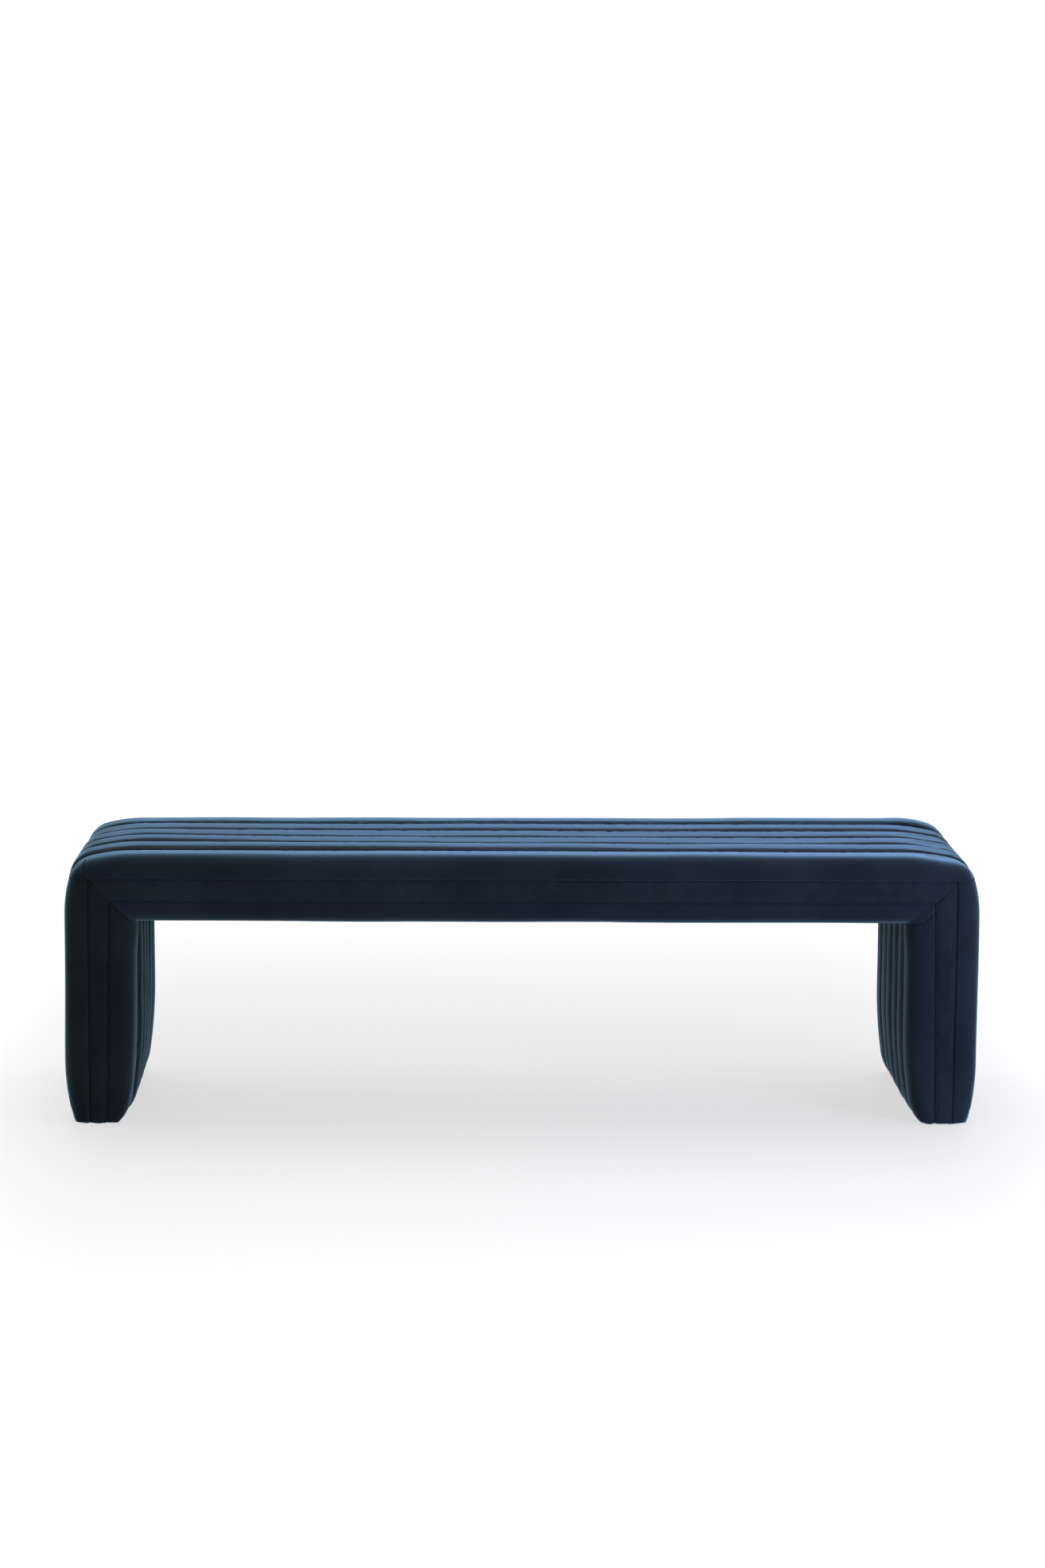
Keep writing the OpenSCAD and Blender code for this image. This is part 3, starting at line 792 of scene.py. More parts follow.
def dustSheet(name, node, glides):
    low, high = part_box(node)
    middle = (low + high) / 2
    width, length = high.x - low.x, high.y - low.y
    half = (width / 2, length / 2)
    glideLow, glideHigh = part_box(glides)
    glideX, glideY = (glideLow.x + glideHigh.x) / 2, glideHigh.y - (glideHigh.x - glideLow.x) / 2
    hole = dustCover["nailHole"]
    bm = bmesh.new()
    bmesh.ops.create_grid(bm, x_segments=dustCover["across"], y_segments=dustCover["along"], size=0.5)
    bmesh.ops.scale(bm, verts=bm.verts[:], vec=(width, length, 1))
    bmesh.ops.translate(bm, verts=bm.verts[:], vec=(middle.x, middle.y, low.z + dustCover["thick"]))
    for side in (-1, 1):
        for axis, at in ((Vector((1, 0, 0)), glideX), (Vector((0, 1, 0)), side * glideY)):
            for edge in (-1, 1):
                bmesh.ops.bisect_plane(bm, geom=bm.verts[:] + bm.edges[:] + bm.faces[:], dist=1e-6,
                                       plane_co=axis * (at + edge * hole), plane_no=axis)
    centres = [(f, f.calc_center_median()) for f in bm.faces]
    pierced = [f for f, c in centres if abs(c.x - glideX) < hole and abs(abs(c.y) - glideY) < hole]
    bmesh.ops.delete(bm, geom=pierced, context="FACES")
    for v in bm.verts:
        if not v.is_boundary:
            v.co.z += dustCover["sag"] * noise.noise(v.co * dustCover["sagWave"])
    flat = sum(f.calc_area() for f in bm.faces)

    def atRim(place, axis):
        return abs(abs(place[axis] - middle[axis]) - half[axis]) < dustCover["close"]

    edges = [e for e in bm.edges if e.is_boundary and (atRim(e.verts[0].co, 0) or atRim(e.verts[0].co, 1))]
    for rise, inset in ((dustCover["fold"], 0.0), (0.0, dustCover["hem"])):
        fresh, edges = extrudeEdges(bm, edges)
        for v in fresh:
            for axis in (0, 1):
                if atRim(v.co, axis):
                    v.co[axis] -= math.copysign(inset, v.co[axis] - middle[axis])
            v.co.z = max(v.co.z, low.z + dustCover["thick"]) + rise
    area = sum(f.calc_area() for f in bm.faces)
    piece = finishMesh(bm, name)
    piece.modifiers.new("cloth", "SOLIDIFY").thickness = dustCover["thick"]
    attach(piece, "root")
    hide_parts(node)
    print("  ", piece.name, "area", round(area, 4), "flat part", round(flat, 4))
    return piece


def dustStaples(name, node):
    low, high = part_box(node)
    inset = dustCover["stapleInset"]
    crown, wire, height = dustCover["stapleSize"]
    bm = bmesh.new()
    count = round((high.y - low.y) / dustCover["staplePitch"])
    places = [(x, low.y + (high.y - low.y) * (i + 0.5) / count, True)
              for x in (low.x + inset, high.x - inset) for i in range(count)]
    places += [((low.x + high.x) / 2, y, False) for y in (low.y + inset, high.y - inset)]
    for x, y, lengthwise in places:
        lean = math.radians(dustCover["stapleLean"] * noise.noise(Vector((x * 90, y * 70, 0.5))))
        turned = Matrix.Rotation(lean + (math.pi / 2 if lengthwise else 0), 4, "Z")
        turn = Matrix.Translation((x, y, low.z)) @ turned
        bars = [((0, 0, -height / 2), (crown, wire, height))]
        for end in (-1, 1):
            bars.append(((end * (crown - height) / 2, 0, dustCover["stapleLeg"] / 2 - height),
                         (height, wire, dustCover["stapleLeg"])))
        for place, size in bars:
            cube = bmesh.ops.create_cube(bm, size=1)["verts"]
            bmesh.ops.scale(bm, verts=cube, vec=size)
            bmesh.ops.translate(bm, verts=cube, vec=place)
            bmesh.ops.transform(bm, verts=cube, matrix=turn)
    softenEdges(bm, height * dustCover["stapleSoft"])
    piece = finishMesh(bm, name)
    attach(piece, "root")
    return piece


dustSheets, staples = [], []
for label in ("left", "right"):
    dustSheets.append(dustSheet(f"{label}DustCover", f"{label}_dust_cover", f"{label}_glides"))
    staples.append(dustStaples(f"{label}DustStaples", f"{label}_dust_cover"))
print("stage: dust covers made")


# The stuffing swells each cover between its seams. The cloth is a little longer than its seams, so it
# gathers along them, and no point moves further than the limit.
swelling = {
    "frames": 14,
    "pressure": 4.0,
    "grow": -0.006,
    "limit": 0.0010,
    "heldNear": 0.0005,   # points this close to a seam or to the foot stay in place
    "heldFoot": 0.004,
    "rules": {"quality": 4, "mass": 0.3, "tension_stiffness": 15, "compression_stiffness": 15,
              "shear_stiffness": 5, "bending_stiffness": 0.5, "use_pressure": True},
}


def addCloth(piece):
    near = piece.data.attributes["seamNear"].data
    low = bench["footGap"] + swelling["heldFoot"]
    held = piece.vertex_groups.new(name="held")
    held.add([v.index for v in piece.data.vertices
              if near[v.index].value < swelling["heldNear"] or v.co.z < low], 1.0, "REPLACE")
    cloth = piece.modifiers.new("swelling", "CLOTH")
    rules = cloth.settings
    for key, value in swelling["rules"].items():
        setattr(rules, key, value)
    rules.uniform_pressure_force = swelling["pressure"]
    rules.shrink_min = swelling["grow"]
    rules.vertex_group_mass = "held"
    rules.effector_weights.gravity = 0
    cloth.collision_settings.use_collision = False
    cloth.point_cache.frame_start = 1
    cloth.point_cache.frame_end = swelling["frames"]


def keepCloth(piece, depsgraph):
    grown = piece.evaluated_get(depsgraph).data
    furthest = 0.0
    moved = []
    for before, after in zip(piece.data.vertices, grown.vertices):
        step = after.co - before.co
        furthest = max(furthest, step.length)
        if step.length > swelling["limit"]:
            step *= swelling["limit"] / step.length
        moved.append(before.co + step)
    piece.modifiers.clear()
    piece.vertex_groups.clear()
    for v, place in zip(piece.data.vertices, moved):
        v.co = place
    piece.data.update()
    return furthest


for piece in velvetPieces:
    addCloth(piece)
for number in range(1, swelling["frames"] + 1):
    scene.frame_set(number)
depsgraph = bpy.context.evaluated_depsgraph_get()
for piece in velvetPieces:
    print("  ", piece.name, "swelled by up to", round(keepCloth(piece, depsgraph) * 1000, 2), "mm")
scene.frame_set(1)
print("stage: covers swelled")


# Sewn joins and folds where the rolls turn a corner, as lines in X and Z on the front or the back face.
creases = {
    "reach": 0.014,
    "cuts": (-1.7, -1.1, -0.6, -0.2, 0.2, 0.6, 1.1, 1.7),   # in widths, to either side of the line
    "merge": 2e-4,        # a cut this near to a point goes through it
    "fadeNear": 0.003,    # a crease runs out this close to a seam
    "narrow": 0.003,      # below this width the crease takes the crushed seam material, with its painted shade
    "faceDeep": 0.030,   # how far in from the face a crease goes
    # piece, depth, width and the points of the line
    "lines": [
        ("frontEdgeRoll", 0.0010, 0.0011, [(-0.7185, 0.4072), (-0.7418, 0.4112), (-0.764, 0.4130)]),
        ("frontEdgeRoll", 0.0013, 0.0014, [(-0.7225, 0.4400), (-0.7236, 0.4090)]),
        ("frontEdgeRoll", 0.0024, 0.0085, [(-0.7345, 0.4290), (-0.7340, 0.4200)]),
        ("frontEdgeRoll", 0.0011, 0.0011, [(0.7185, 0.4050), (0.7441, 0.4129), (0.764, 0.4180)]),
        ("frontEdgeRoll", 0.0012, 0.0045, [(0.7460, 0.4190), (0.7480, 0.4230)]),
        ("frontInnerRoll", 0.0022, 0.0017,
         [(-0.6810, 0.3730), (-0.6677, 0.3585), (-0.6456, 0.3360), (-0.634, 0.330)]),
        ("frontInnerRoll", 0.0026, 0.0019, [(0.6830, 0.3610), (0.6623, 0.3420), (0.6350, 0.3345)]),
        ("backEdgeRoll", 0.0011, 0.0012, [(0.7185, 0.4070), (0.764, 0.4110)]),
        ("backEdgeRoll", 0.0011, 0.0012, [(-0.7185, 0.4070), (-0.764, 0.4120)]),
        ("backInnerRoll", 0.0022, 0.0018, [(0.6810, 0.3730), (0.634, 0.331)]),
        ("backInnerRoll", 0.0022, 0.0018, [(-0.6810, 0.3730), (-0.634, 0.331)]),
    ],
}


def partsOf(line):
    return [(inXZ(*a), inXZ(*b)) for a, b in zip(line[:-1], line[1:])]


def distanceToLine(place, line):
    nearest = 1.0
    for a, b in partsOf(line):
        share = clamp((place - a).dot(b - a) / (b - a).length_squared)
        nearest = min(nearest, (place - a.lerp(b, share)).length)
    return nearest


def foldCrease(name, deep, width, line):
    piece = bpy.data.objects[name]
    side = -1 if name.startswith("front") else 1
    bm = bmesh.new()
    bm.from_mesh(piece.data)
    near = bm.verts.layers.float["seamNear"]
    flat = Vector((1, 0, 1))

    def isClose(place, reach):
        onFace = side * place.y > halfDepth - creases["faceDeep"]
        return onFace and distanceToLine(place * flat, line) < reach

    for a, b in partsOf(line):
        across = (b - a).cross(Vector((0, 1, 0))).normalized()
        for shift in creases["cuts"]:
            faces = [f for f in bm.faces if isClose(f.calc_center_median(), creases["reach"])]
            edges, corners = {e for f in faces for e in f.edges}, {v for f in faces for v in f.verts}
            bmesh.ops.bisect_plane(bm, geom=faces + list(edges) + list(corners), dist=creases["merge"],
                                   plane_co=a + across * shift * width, plane_no=across)
    bm.normal_update()
    moves = []
    for v in bm.verts:
        if isClose(v.co, width * 3):
            away = distanceToLine(v.co * flat, line)
            depth = deep * math.exp(-(away / width) ** 2) * min(1, v[near] / creases["fadeNear"])
            moves.append((v, v.normal * depth))
            if width < creases["narrow"]:
                v[near] = min(v[near], away * 2)
    for v, step in moves:
        v.co -= step
    bm.to_mesh(piece.data)
    bm.free()
    piece.data.shade_smooth()


# The covers are pulled over the foot boards by hand, so their lower edges are soft and uneven.
footEnds = {
    "height": 0.012,
    "round": 0.00075,
    "roundReach": 0.05,
    "unevenness": 0.0024,
    "foldSize": 0.014,
}


def looseFootEnds(piece):
    foot = bench["footGap"]
    middleX = halfLength - bench["legThick"] / 2
    for v in piece.data.vertices:
        high = v.co.z - foot
        if high < footEnds["height"]:
            share = (1 - high / footEnds["height"]) ** 2
            place = v.co / footEnds["foldSize"]
            v.co.z += share * footEnds["unevenness"] * noise.noise(Vector((place.x, place.y, 0.5)))
            outer = clamp((abs(v.co.x) - middleX) / footEnds["roundReach"], -1)
            v.co.x -= math.copysign(1, v.co.x) * share * footEnds["round"] * outer
            v.co.y += share * footEnds["unevenness"] * noise.noise(Vector((place.x, place.y, 7.5)))
    piece.data.update()


for crease in creases["lines"]:
    foldCrease(*crease)
for piece in velvetPieces:
    looseFootEnds(piece)
print("stage: creases and foot ends")


# Topstitching holds the seam allowance down: one line beside the outer seam of the seat, one below its
# inner seam and one up each leg. A stitch is a small spindle laid on the cloth.
threads = {
    "pitch": 0.0042,
    "half": (0.00155, 0.00034, 0.00030),
    "sunk": 0.00014,
    "below": 0.0066,      # on the inner roll, under its seam
    "cornerShort": 0.012,
    "foot": 0.010,
    "wobble": 0.06,
    "wobbleWave": 300,
    "twist": {"Deep": (0.006, 0.009, 0.018, 1), "Light": (0.018, 0.027, 0.048, 1),
              "Patches": 800.0, "Tooth": 2600.0, "Contrast": 2.0},
    "bump": (0.5, 0.0001),
}
threadPieces = []


def stitchLines():
    inset, below = strips["stitchInset"], threads["below"]
    reach, top = seamOut.x - inset, seamOut.z - inset
    innerReach, innerTop = seamIn.x - threads["cornerShort"], seamIn.z - below
    lines = [(inXZ(-x, z), inXZ(x, z)) for x, z in ((reach, top), (innerReach, innerTop))]
    start, end = seamInAt(seamIn.z + inset), seamInAt(bench["footGap"] + threads["foot"])
    for hand in (-1, 1):
        lines.append((inXZ(hand * (start.x + inset), start.z), inXZ(hand * (end.x + inset), end.z)))
    return lines


def sewThreads(name, side):
    faces, places = [], []
    for piece in velvetPieces:
        if piece.name.startswith("front" if side < 0 else "back") and "EdgeRoll" not in piece.name:
            base = len(places)
            places += [v.co.copy() for v in piece.data.vertices]
            faces += [[base + v for v in face.vertices] for face in piece.data.polygons]
    cover = BVHTree.FromPolygons(places, faces)
    bm = bmesh.new()
    for a, b in stitchLines():
        direction = (b - a).normalized()
        count = int((b - a).length / threads["pitch"])
        for i in range(count):
            place = a.lerp(b, (i + 0.5) / count)
            hit, normal, _, _ = cover.ray_cast(Vector((place.x, side, place.z)), Vector((0, -side, 0)))
            if hit is None:
                continue
            if normal.y * side < 0:
                normal = -normal
            lean = direction + threads["wobble"] * inXZ(0, noise.noise(place * threads["wobbleWave"]))
            along = (lean - normal * lean.dot(normal)).normalized()
            turn = Matrix((along, normal.cross(along), normal)).transposed().to_4x4()
            ball = bmesh.ops.create_icosphere(bm, subdivisions=1, radius=1)["verts"]
            bmesh.ops.scale(bm, verts=ball, vec=threads["half"])
            bmesh.ops.transform(bm, verts=ball, matrix=Matrix.Translation(
                hit + normal * (threads["half"][2] - threads["sunk"])) @ turn)
    piece = finishMesh(bm, name, smooth=True)
    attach(piece, "root")
    threadPieces.append(piece)


for label, side in (("front", -1), ("back", 1)):
    sewThreads(f"{label}Topstitching", side)
print("stage: threads sewn")


# Effects that several materials share, each a node group.
def startGroup(name, inputs, outputs):
    group = bpy.data.node_groups.new(name, "ShaderNodeTree")
    for label, kind, value in inputs:
        socket = group.interface.new_socket(name=label, in_out="INPUT", socket_type="NodeSocket" + kind)
        if value is not None:
            socket.default_value = value
    for label, kind in outputs:
        group.interface.new_socket(name=label, in_out="OUTPUT", socket_type="NodeSocket" + kind)
    return group, group.nodes.new("NodeGroupInput"), group.nodes.new("NodeGroupOutput")


def makeGrainGroup():
    # Long fibres along X, with slow growth bands across them.
    group, given, result = startGroup("woodGrain", [
        ("Vector", "Vector", None), ("Light", "Color", (0.7, 0.5, 0.3, 1)),
        ("Dark", "Color", (0.5, 0.3, 0.2, 1)), ("Bands", "Float", 14.0), ("Fibres", "Float", 260.0)],
        [("Color", "Color"), ("Height", "Float")])
    along = addNode(group, "VectorMath", {1: (0.06, 1.0, 1.0)}, operation="MULTIPLY")
    bend = addNode(group, "TexNoise", {"Scale": 7.0, "Detail": 3.0})
    bent = addNode(group, "VectorMath", {"Scale": 0.05}, operation="SCALE")
    moved = addNode(group, "VectorMath", operation="ADD")
    bands = addNode(group, "TexNoise", {"Detail": 2.0, "Roughness": 0.4})
    fibres = addNode(group, "TexNoise", {"Detail": 4.0, "Roughness": 0.7})
    both = addNode(group, "Math", {1: 0.55}, operation="MULTIPLY_ADD")
    part = addNode(group, "Math", {1: 0.45}, operation="MULTIPLY")
    contrast = addNode(group, "MapRange", {"From Min": 0.34, "From Max": 0.64})
    tone = addNode(group, "Mix", data_type="RGBA")
    connect(group, (given, "Vector", along, 0), (given, "Vector", bend, "Vector"), (bend, "Color", bent, 0),
            (along, "Vector", moved, 0), (bent, "Vector", moved, 1), (moved, "Vector", bands, "Vector"),
            (along, "Vector", fibres, "Vector"), (given, "Bands", bands, "Scale"),
            (given, "Fibres", fibres, "Scale"), (fibres, "Fac", part, 0), (bands, "Fac", both, 0),
            (part, "Value", both, 2), (both, "Value", contrast, "Value"),
            (contrast, "Result", tone, "Factor"),
            (given, "Light", tone, "A"), (given, "Dark", tone, "B"), (tone, "Result", result, "Color"),
            (fibres, "Fac", result, "Height"))
    return group


def makeMottleGroup():
    # A slow patchy tone with a fine tooth in it.
    group, given, result = startGroup("mottle", [
        ("Vector", "Vector", None), ("Deep", "Color", (0, 0, 0, 1)), ("Light", "Color", (1, 1, 1, 1)),
        ("Patches", "Float", 9.0), ("Tooth", "Float", 900.0), ("Contrast", "Float", 1.0)],
        [("Color", "Color"), ("Tooth", "Float")])
    patches = addNode(group, "TexNoise", {"Detail": 3.0, "Roughness": 0.55})
    tooth = addNode(group, "TexNoise", {"Detail": 2.0, "Roughness": 0.6})
    spread = addNode(group, "Math", {1: 0.5}, operation="SUBTRACT")
    wide = addNode(group, "Math", operation="MULTIPLY")
    back = addNode(group, "Math", {1: 0.5}, operation="ADD", use_clamp=True)
    tone = addNode(group, "Mix", data_type="RGBA")
    connect(group, (given, "Vector", patches, "Vector"), (given, "Vector", tooth, "Vector"),
            (given, "Patches", patches, "Scale"), (given, "Tooth", tooth, "Scale"),
            (patches, "Fac", spread, 0),
            (spread, "Value", wide, 0), (given, "Contrast", wide, 1), (wide, "Value", back, 0),
            (back, "Value", tone, "Factor"), (given, "Deep", tone, "A"), (given, "Light", tone, "B"),
            (tone, "Result", result, "Color"), (tooth, "Fac", result, "Tooth"))
    return group


grainGroup = makeGrainGroup()
mottleGroup = makeMottleGroup()


def placeGroup(tree, group, values):
    node = tree.nodes.new("ShaderNodeGroup")
    node.node_tree = group
    setInputs(node, values)
    return node


def addBump(tree, shader, height, bump):
    strength, distance = bump
    node = addNode(tree, "Bump", {"Strength": strength, "Distance": distance})
    tree.links.new(height, node.inputs["Height"])
    connect(tree, (node, "Normal", shader, "Normal"))


# Wood inside: sawn softwood with its grain along each piece, and plywood whose edges show its plies.
wood = {
    "pine": {"light": (0.68, 0.47, 0.25, 1), "dark": (0.42, 0.24, 0.10, 1), "bands": 26.0, "fibres": 330.0},
    "veneer": {"light": (0.62, 0.43, 0.24, 1), "dark": (0.45, 0.28, 0.14, 1),
               "bands": 11.0, "fibres": 260.0},
    "ply": 0.0015,
    "glueLine": (0.16, 0.08, 0.04, 1),
    "roughness": 0.72,
    "glueBand": (0.84, 0.92),   # share of a ply where its glue line starts and is full
    "glueStrength": 0.6,
    "bump": (0.35, 0.0004),
}


def makeWood(name, finish, turned, plyTurned=None):
    material, tree, shader, coords = startMaterial(name)
    mapping = addNode(tree, "Mapping", {"Rotation": turned})
    grain = placeGroup(tree, grainGroup, {"Light": finish["light"], "Dark": finish["dark"],
                                          "Bands": finish["bands"], "Fibres": finish["fibres"]})
    connect(tree, (coords, "Object", mapping, "Vector"), (mapping, "Vector", grain, "Vector"))
    tone = grain.outputs["Color"]
    if plyTurned is not None:   # thin dark glue lines, a ply apart
        start, end = wood["glueBand"]
        across = addNode(tree, "Mapping", {"Rotation": plyTurned})
        parts = addNode(tree, "SeparateXYZ")
        count = addNode(tree, "Math", {1: wood["ply"]}, operation="DIVIDE")
        share = addNode(tree, "Math", operation="FRACT")
        line = addNode(tree, "MapRange", {"From Min": start, "From Max": end,
                                          "To Max": wood["glueStrength"]})
        glued = addNode(tree, "Mix", {"B": wood["glueLine"]}, data_type="RGBA")
        connect(tree, (coords, "Object", across, "Vector"), (across, "Vector", parts, "Vector"),
                (parts, "Z", count, 0), (count, "Value", share, 0), (share, "Value", line, "Value"),
                (line, "Result", glued, "Factor"))
        tree.links.new(tone, glued.inputs["A"])
        tone = glued.outputs["Result"]
    tree.links.new(tone, shader.inputs["Base Color"])
    addBump(tree, shader, grain.outputs["Height"], wood["bump"])
    setInputs(shader, {"Roughness": wood["roughness"]})
    return material


# Metal: satin nickel glides, and zinc-plated plates, screws and staples with a faint cloudy bloom.
metal = {
    "nickel": {"deep": (0.42, 0.41, 0.39, 1), "light": (0.56, 0.55, 0.53, 1), "roughness": (0.22, 0.38)},
    "zinc": {"deep": (0.44, 0.45, 0.46, 1), "light": (0.62, 0.62, 0.60, 1), "roughness": (0.30, 0.52)},
    "cloudy": 120.0,
    "scratchScale": 700.0,
    "drawn": {"Scale": (0.08, 1.0, 1.0), "Rotation": (0, 0, 0.4)},
    "bump": (0.2, 0.00015),
}


def makeMetal(name, finish):
    material, tree, shader, coords = startMaterial(name)
    cloud = placeGroup(tree, mottleGroup, {"Deep": finish["deep"], "Light": finish["light"],
                                           "Patches": metal["cloudy"], "Tooth": metal["scratchScale"]})
    drawn = addNode(tree, "Mapping", metal["drawn"])
    rough = addNode(tree, "MapRange", {"To Min": finish["roughness"][0], "To Max": finish["roughness"][1]})
    connect(tree, (coords, "Object", drawn, "Vector"), (drawn, "Vector", cloud, "Vector"),
            (cloud, "Color", shader, "Base Color"), (cloud, "Tooth", rough, "Value"),
            (rough, "Result", shader, "Roughness"))
    addBump(tree, shader, cloud.outputs["Tooth"], metal["bump"])
    setInputs(shader, {"Metallic": 1.0})
    return material


def makeFoam():
    material, tree, shader, coords = startMaterial("openCellFoam")
    cells = addNode(tree, "TexVoronoi", {"Scale": foam["cell"]})
    tone = placeGroup(tree, mottleGroup, {"Deep": foam["shade"], "Light": foam["open"], "Patches": 5.0})
    # Painted shade in the pores: the tone darkens towards each cell's middle.
    poreShade = addNode(tree, "MapRange", {"From Max": 0.7, "To Min": 0.75})
    dark = addNode(tree, "Mix", {"A": (0, 0, 0, 1)}, data_type="RGBA")
    connect(tree, (coords, "Object", cells, "Vector"), (coords, "Object", tone, "Vector"),
            (cells, "Distance", poreShade, "Value"), (poreShade, "Result", dark, "Factor"),
            (tone, "Color", dark, "B"),
            (dark, "Result", shader, "Base Color"))
    addBump(tree, shader, cells.outputs["Distance"], foam["bump"])
    setInputs(shader, {"Roughness": 0.95, "Specular IOR Level": 0.15})
    return material


def makeDustCloth():
    # Spun-bonded cloth: flat random fibres, with a faint grid of pressed dots.
    material, tree, shader, coords = startMaterial("blackDustCloth")
    fibres = placeGroup(tree, mottleGroup, dustCover["fibres"])
    dots = addNode(tree, "TexVoronoi", {"Scale": 640.0, "Randomness": 0.0})
    pressed = addNode(tree, "MapRange", {"From Min": 0.16, "From Max": 0.30})
    height = addNode(tree, "Math", {2: 0.0}, operation="MULTIPLY_ADD")
    connect(tree, (coords, "Object", fibres, "Vector"), (coords, "Object", dots, "Vector"),
            (dots, "Distance", pressed, "Value"), (pressed, "Result", height, 0),
            (fibres, "Tooth", height, 1),
            (fibres, "Color", shader, "Base Color"))
    addBump(tree, shader, height.outputs["Value"], dustCover["bump"])
    setInputs(shader, {"Roughness": 0.88, "Specular IOR Level": 0.2})
    return material


def giveFinish(names, material):
    for name in names:
        piece = bpy.data.objects[name]
        if not piece.material_slots:
            piece.data.materials.append(material)
        for place in piece.material_slots:
            place.material = material


quarter = math.pi / 2
both = ("left", "right")
giveFinish(["front_rail", "back_rail"], makeWood("pineAlongX", wood["pine"], (0, 0, 0)))
giveFinish(["cross_rails"] + [f"{hand}_stretchers" for hand in both],
           makeWood("pineAlongY", wood["pine"], (0, 0, quarter)))
giveFinish(["glue_blocks"] + [f"{hand}_posts" for hand in both],
           makeWood("pineUpright", wood["pine"], (0, quarter, 0)))
giveFinish(["seat_deck", "base_board"], makeWood("deckPlywood", wood["veneer"], (0, 0, 0), (0, 0, 0)))
giveFinish([f"{hand}_foot_board" for hand in both],
           makeWood("footPlywood", wood["veneer"], (0, 0, quarter), (0, 0, 0)))
giveFinish([f"{hand}_{kind}_panel" for hand in both for kind in ("side", "inner")],
           makeWood("bendingPlywood", wood["veneer"], (0, 0, quarter), (0, quarter, 0)))
giveFinish([f"{hand}_glides" for hand in both], makeMetal("satinNickel", metal["nickel"]))
giveFinish(["corner_plates", "plate_screws", "deck_screws"] + [piece.name for piece in staples],
           makeMetal("zincPlate", metal["zinc"]))
giveFinish([piece.name for piece in foamPieces], makeFoam())
giveFinish([piece.name for piece in dustSheets], makeDustCloth())


# Velvet: dark navy pile, with a bright sheen where it is seen along the surface. Under the seat and
# inside the legs a copy with less sheen paints shade, and along the seams darker copies paint shade.
velvet = {
    "top": {"deep": (0.0070, 0.0104, 0.0150, 1), "light": (0.0124, 0.0182, 0.0256, 1), "sheen": 0.54,
            "sheenRoughness": 0.24, "sheenTint": (0.30, 0.65, 0.95, 1), "specular": 0.009},
    "face": {"deep": (0.0066, 0.0102, 0.0145, 1), "light": (0.0116, 0.0178, 0.0247, 1), "sheen": 0.56,
             "sheenRoughness": 0.37, "sheenTint": (0.33, 0.66, 0.92, 1), "specular": 0.004},
    # The roll and under copies have less sheen: painted shade under the seat and inside the legs.
    "roll": {"deep": (0.0066, 0.0102, 0.0165, 1), "light": (0.0112, 0.0165, 0.0235, 1), "sheen": 0.32,
             "sheenRoughness": 0.42, "sheenTint": (0.40, 0.66, 0.84, 1), "specular": 0.0},
    "under": {"deep": (0.0055, 0.0082, 0.0115, 1), "light": (0.0090, 0.0135, 0.0180, 1), "sheen": 0.33,
              "sheenRoughness": 0.34, "sheenTint": (0.42, 0.70, 0.84, 1), "specular": 0.0},
    # Crushed pile along the face seams, with less sheen: partly real, partly painted shade in the seams.
    "crushedShaded": {"deep": (0.0066, 0.0100, 0.0142, 1), "light": (0.0110, 0.0165, 0.0235, 1), "sheen": 0.20,
                "sheenRoughness": 0.4, "sheenTint": (0.34, 0.58, 0.95, 1), "specular": 0.0},
    # Painted shade: a much darker copy at the bottom of the channels' grooves.
    "groove": {"deep": (0.0012, 0.0020, 0.0034, 1), "light": (0.0030, 0.0045, 0.0070, 1), "sheen": 0.14,
               "sheenRoughness": 0.4, "sheenTint": (0.34, 0.62, 0.95, 1), "specular": 0.0},
    "roughness": 0.55,
    "crushedShadedWidth": 0.0026,
    "patches": 8.0,
    "pile": 1300.0,
    "brushed": 34.0,
    "brushedHeight": 0.0007,
    # Painted shade: the left leg's face is a darker and warmer navy than the rest of the face.
    "paintedLegShade": (0.92, 0.76, 0.66, 1),
    "paintedLegShadeFrom": (0.3050, 0.3100),    # along the mitre, x and z together
    "paintedRightLight": (2.7, 2.7, 2.9, 1),   # painted light: the base colour is raised inside the right leg
    "paintedRightLightX": (-0.3, 0.6),
    "contrast": 2.2,
    "strokes": (0.35, 1.0, 1.0),    # strokes of a hand along the bench
    "pileHeight": 0.03,             # against a height of 1 for the strokes
    "bumpStrength": 0.7,
}


def paintLightAndShade(tree, name, pile, coords):
    # Painted light and shade over the pile's tone: lighter inside the right leg, darker on the left leg's
    # face.
    parts = addNode(tree, "SeparateXYZ")
    paintedTone = addNode(tree, "Mix", data_type="RGBA", blend_type="MULTIPLY", clamp_result=False)
    connect(tree, (coords, "Object", parts, "Vector"))
    if name == "navyVelvetUnder":
        paintedTone.inputs["B"].default_value = velvet["paintedRightLight"]
        share = easedRange(tree, parts.outputs["X"], *velvet["paintedRightLightX"], 0, 1)
    else:
        paintedTone.inputs["B"].default_value = velvet["paintedLegShade"]
        past = combine(tree, "ADD", parts.outputs["X"], parts.outputs["Z"])
        start, end = velvet["paintedLegShadeFrom"]
        share = easedRange(tree, past, -end, -start, 1, 0)
    tree.links.new(share, paintedTone.inputs["Factor"])
    connect(tree, (pile, "Color", paintedTone, "A"))
    return paintedTone.outputs["Result"]


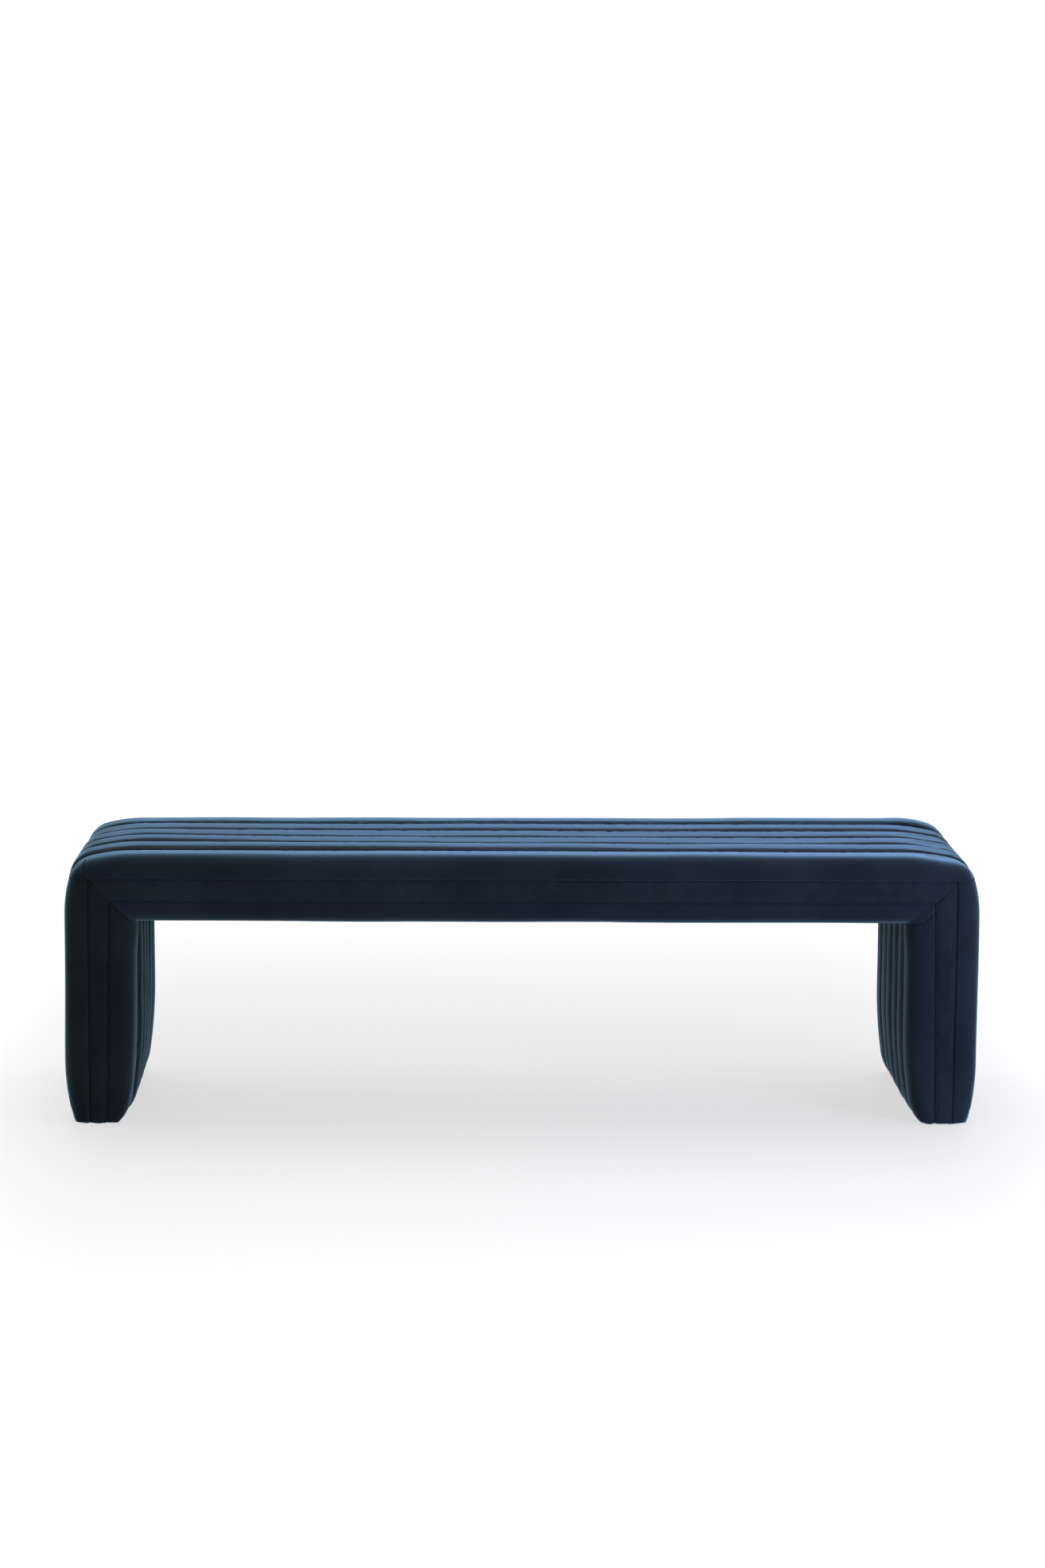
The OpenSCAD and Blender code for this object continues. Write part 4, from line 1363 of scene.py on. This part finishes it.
def makeVelvet(name, finish):
    material, tree, shader, coords = startMaterial(name)
    pile = placeGroup(tree, mottleGroup, {
        "Deep": finish["deep"], "Light": finish["light"], "Contrast": velvet["contrast"],
        "Patches": velvet["patches"], "Tooth": velvet["pile"]})
    strokes = addNode(tree, "Mapping", {"Scale": velvet["strokes"]})
    brushed = addNode(tree, "TexNoise", {"Scale": velvet["brushed"], "Detail": 3.0, "Roughness": 0.5})
    height = addNode(tree, "Math", {1: velvet["pileHeight"]}, operation="MULTIPLY_ADD")
    connect(tree, (coords, "Object", pile, "Vector"), (coords, "Object", strokes, "Vector"),
            (strokes, "Vector", brushed, "Vector"), (pile, "Tooth", height, 0), (brushed, "Fac", height, 2))
    addBump(tree, shader, height.outputs["Value"], (velvet["bumpStrength"], velvet["brushedHeight"]))
    plain = name == "navyVelvet"
    tone = pile.outputs["Color"] if plain else paintLightAndShade(tree, name, pile, coords)
    tree.links.new(tone, shader.inputs["Base Color"])
    setInputs(shader, {"Roughness": velvet["roughness"], "Specular IOR Level": finish["specular"],
                       "Sheen Weight": finish["sheen"], "Sheen Roughness": finish["sheenRoughness"],
                       "Sheen Tint": finish["sheenTint"]})
    return material


def makeThread():
    # Twisted polyester, a shade bluer and shinier than the pile.
    material, tree, shader, coords = startMaterial("navyThread")
    twist = placeGroup(tree, mottleGroup, threads["twist"])
    connect(tree, (coords, "Object", twist, "Vector"), (twist, "Color", shader, "Base Color"))
    addBump(tree, shader, twist.outputs["Tooth"], threads["bump"])
    setInputs(shader, {"Roughness": 0.45, "Specular IOR Level": 0.08})
    return material


giveFinish([piece.name for piece in threadPieces], makeThread())
velvetKinds = {kind: makeVelvet("navyVelvet" + part, velvet[kind]) for kind, part in (
    ("top", ""), ("face", "Face"), ("roll", "InnerRoll"), ("under", "Under"), ("crushedShaded", "Crushed"),
    ("groove", "Groove"))}
for piece in velvetPieces:
    onFace = piece.name.startswith(("front", "back"))
    velvetKind = "face" if onFace else "top"
    if piece.name.startswith("under"):
        velvetKind = "under"
    elif piece.name.endswith("InnerRoll"):
        velvetKind = "roll"
    piece.data.materials.append(velvetKinds[velvetKind])
    # Faces near a seam take a second slot: the crushed copy with its painted shade on the faces, the
    # painted groove shade on the channels.
    piece.data.materials.append(velvetKinds["crushedShaded" if onFace else "groove"])
    near = piece.data.attributes["seamNear"].data
    for face in piece.data.polygons:
        closest = sum(near[v].value for v in face.vertices) / len(face.vertices)
        face.material_index = 1 if closest < velvet["crushedShadedWidth"] else 0
print("stage: materials made")
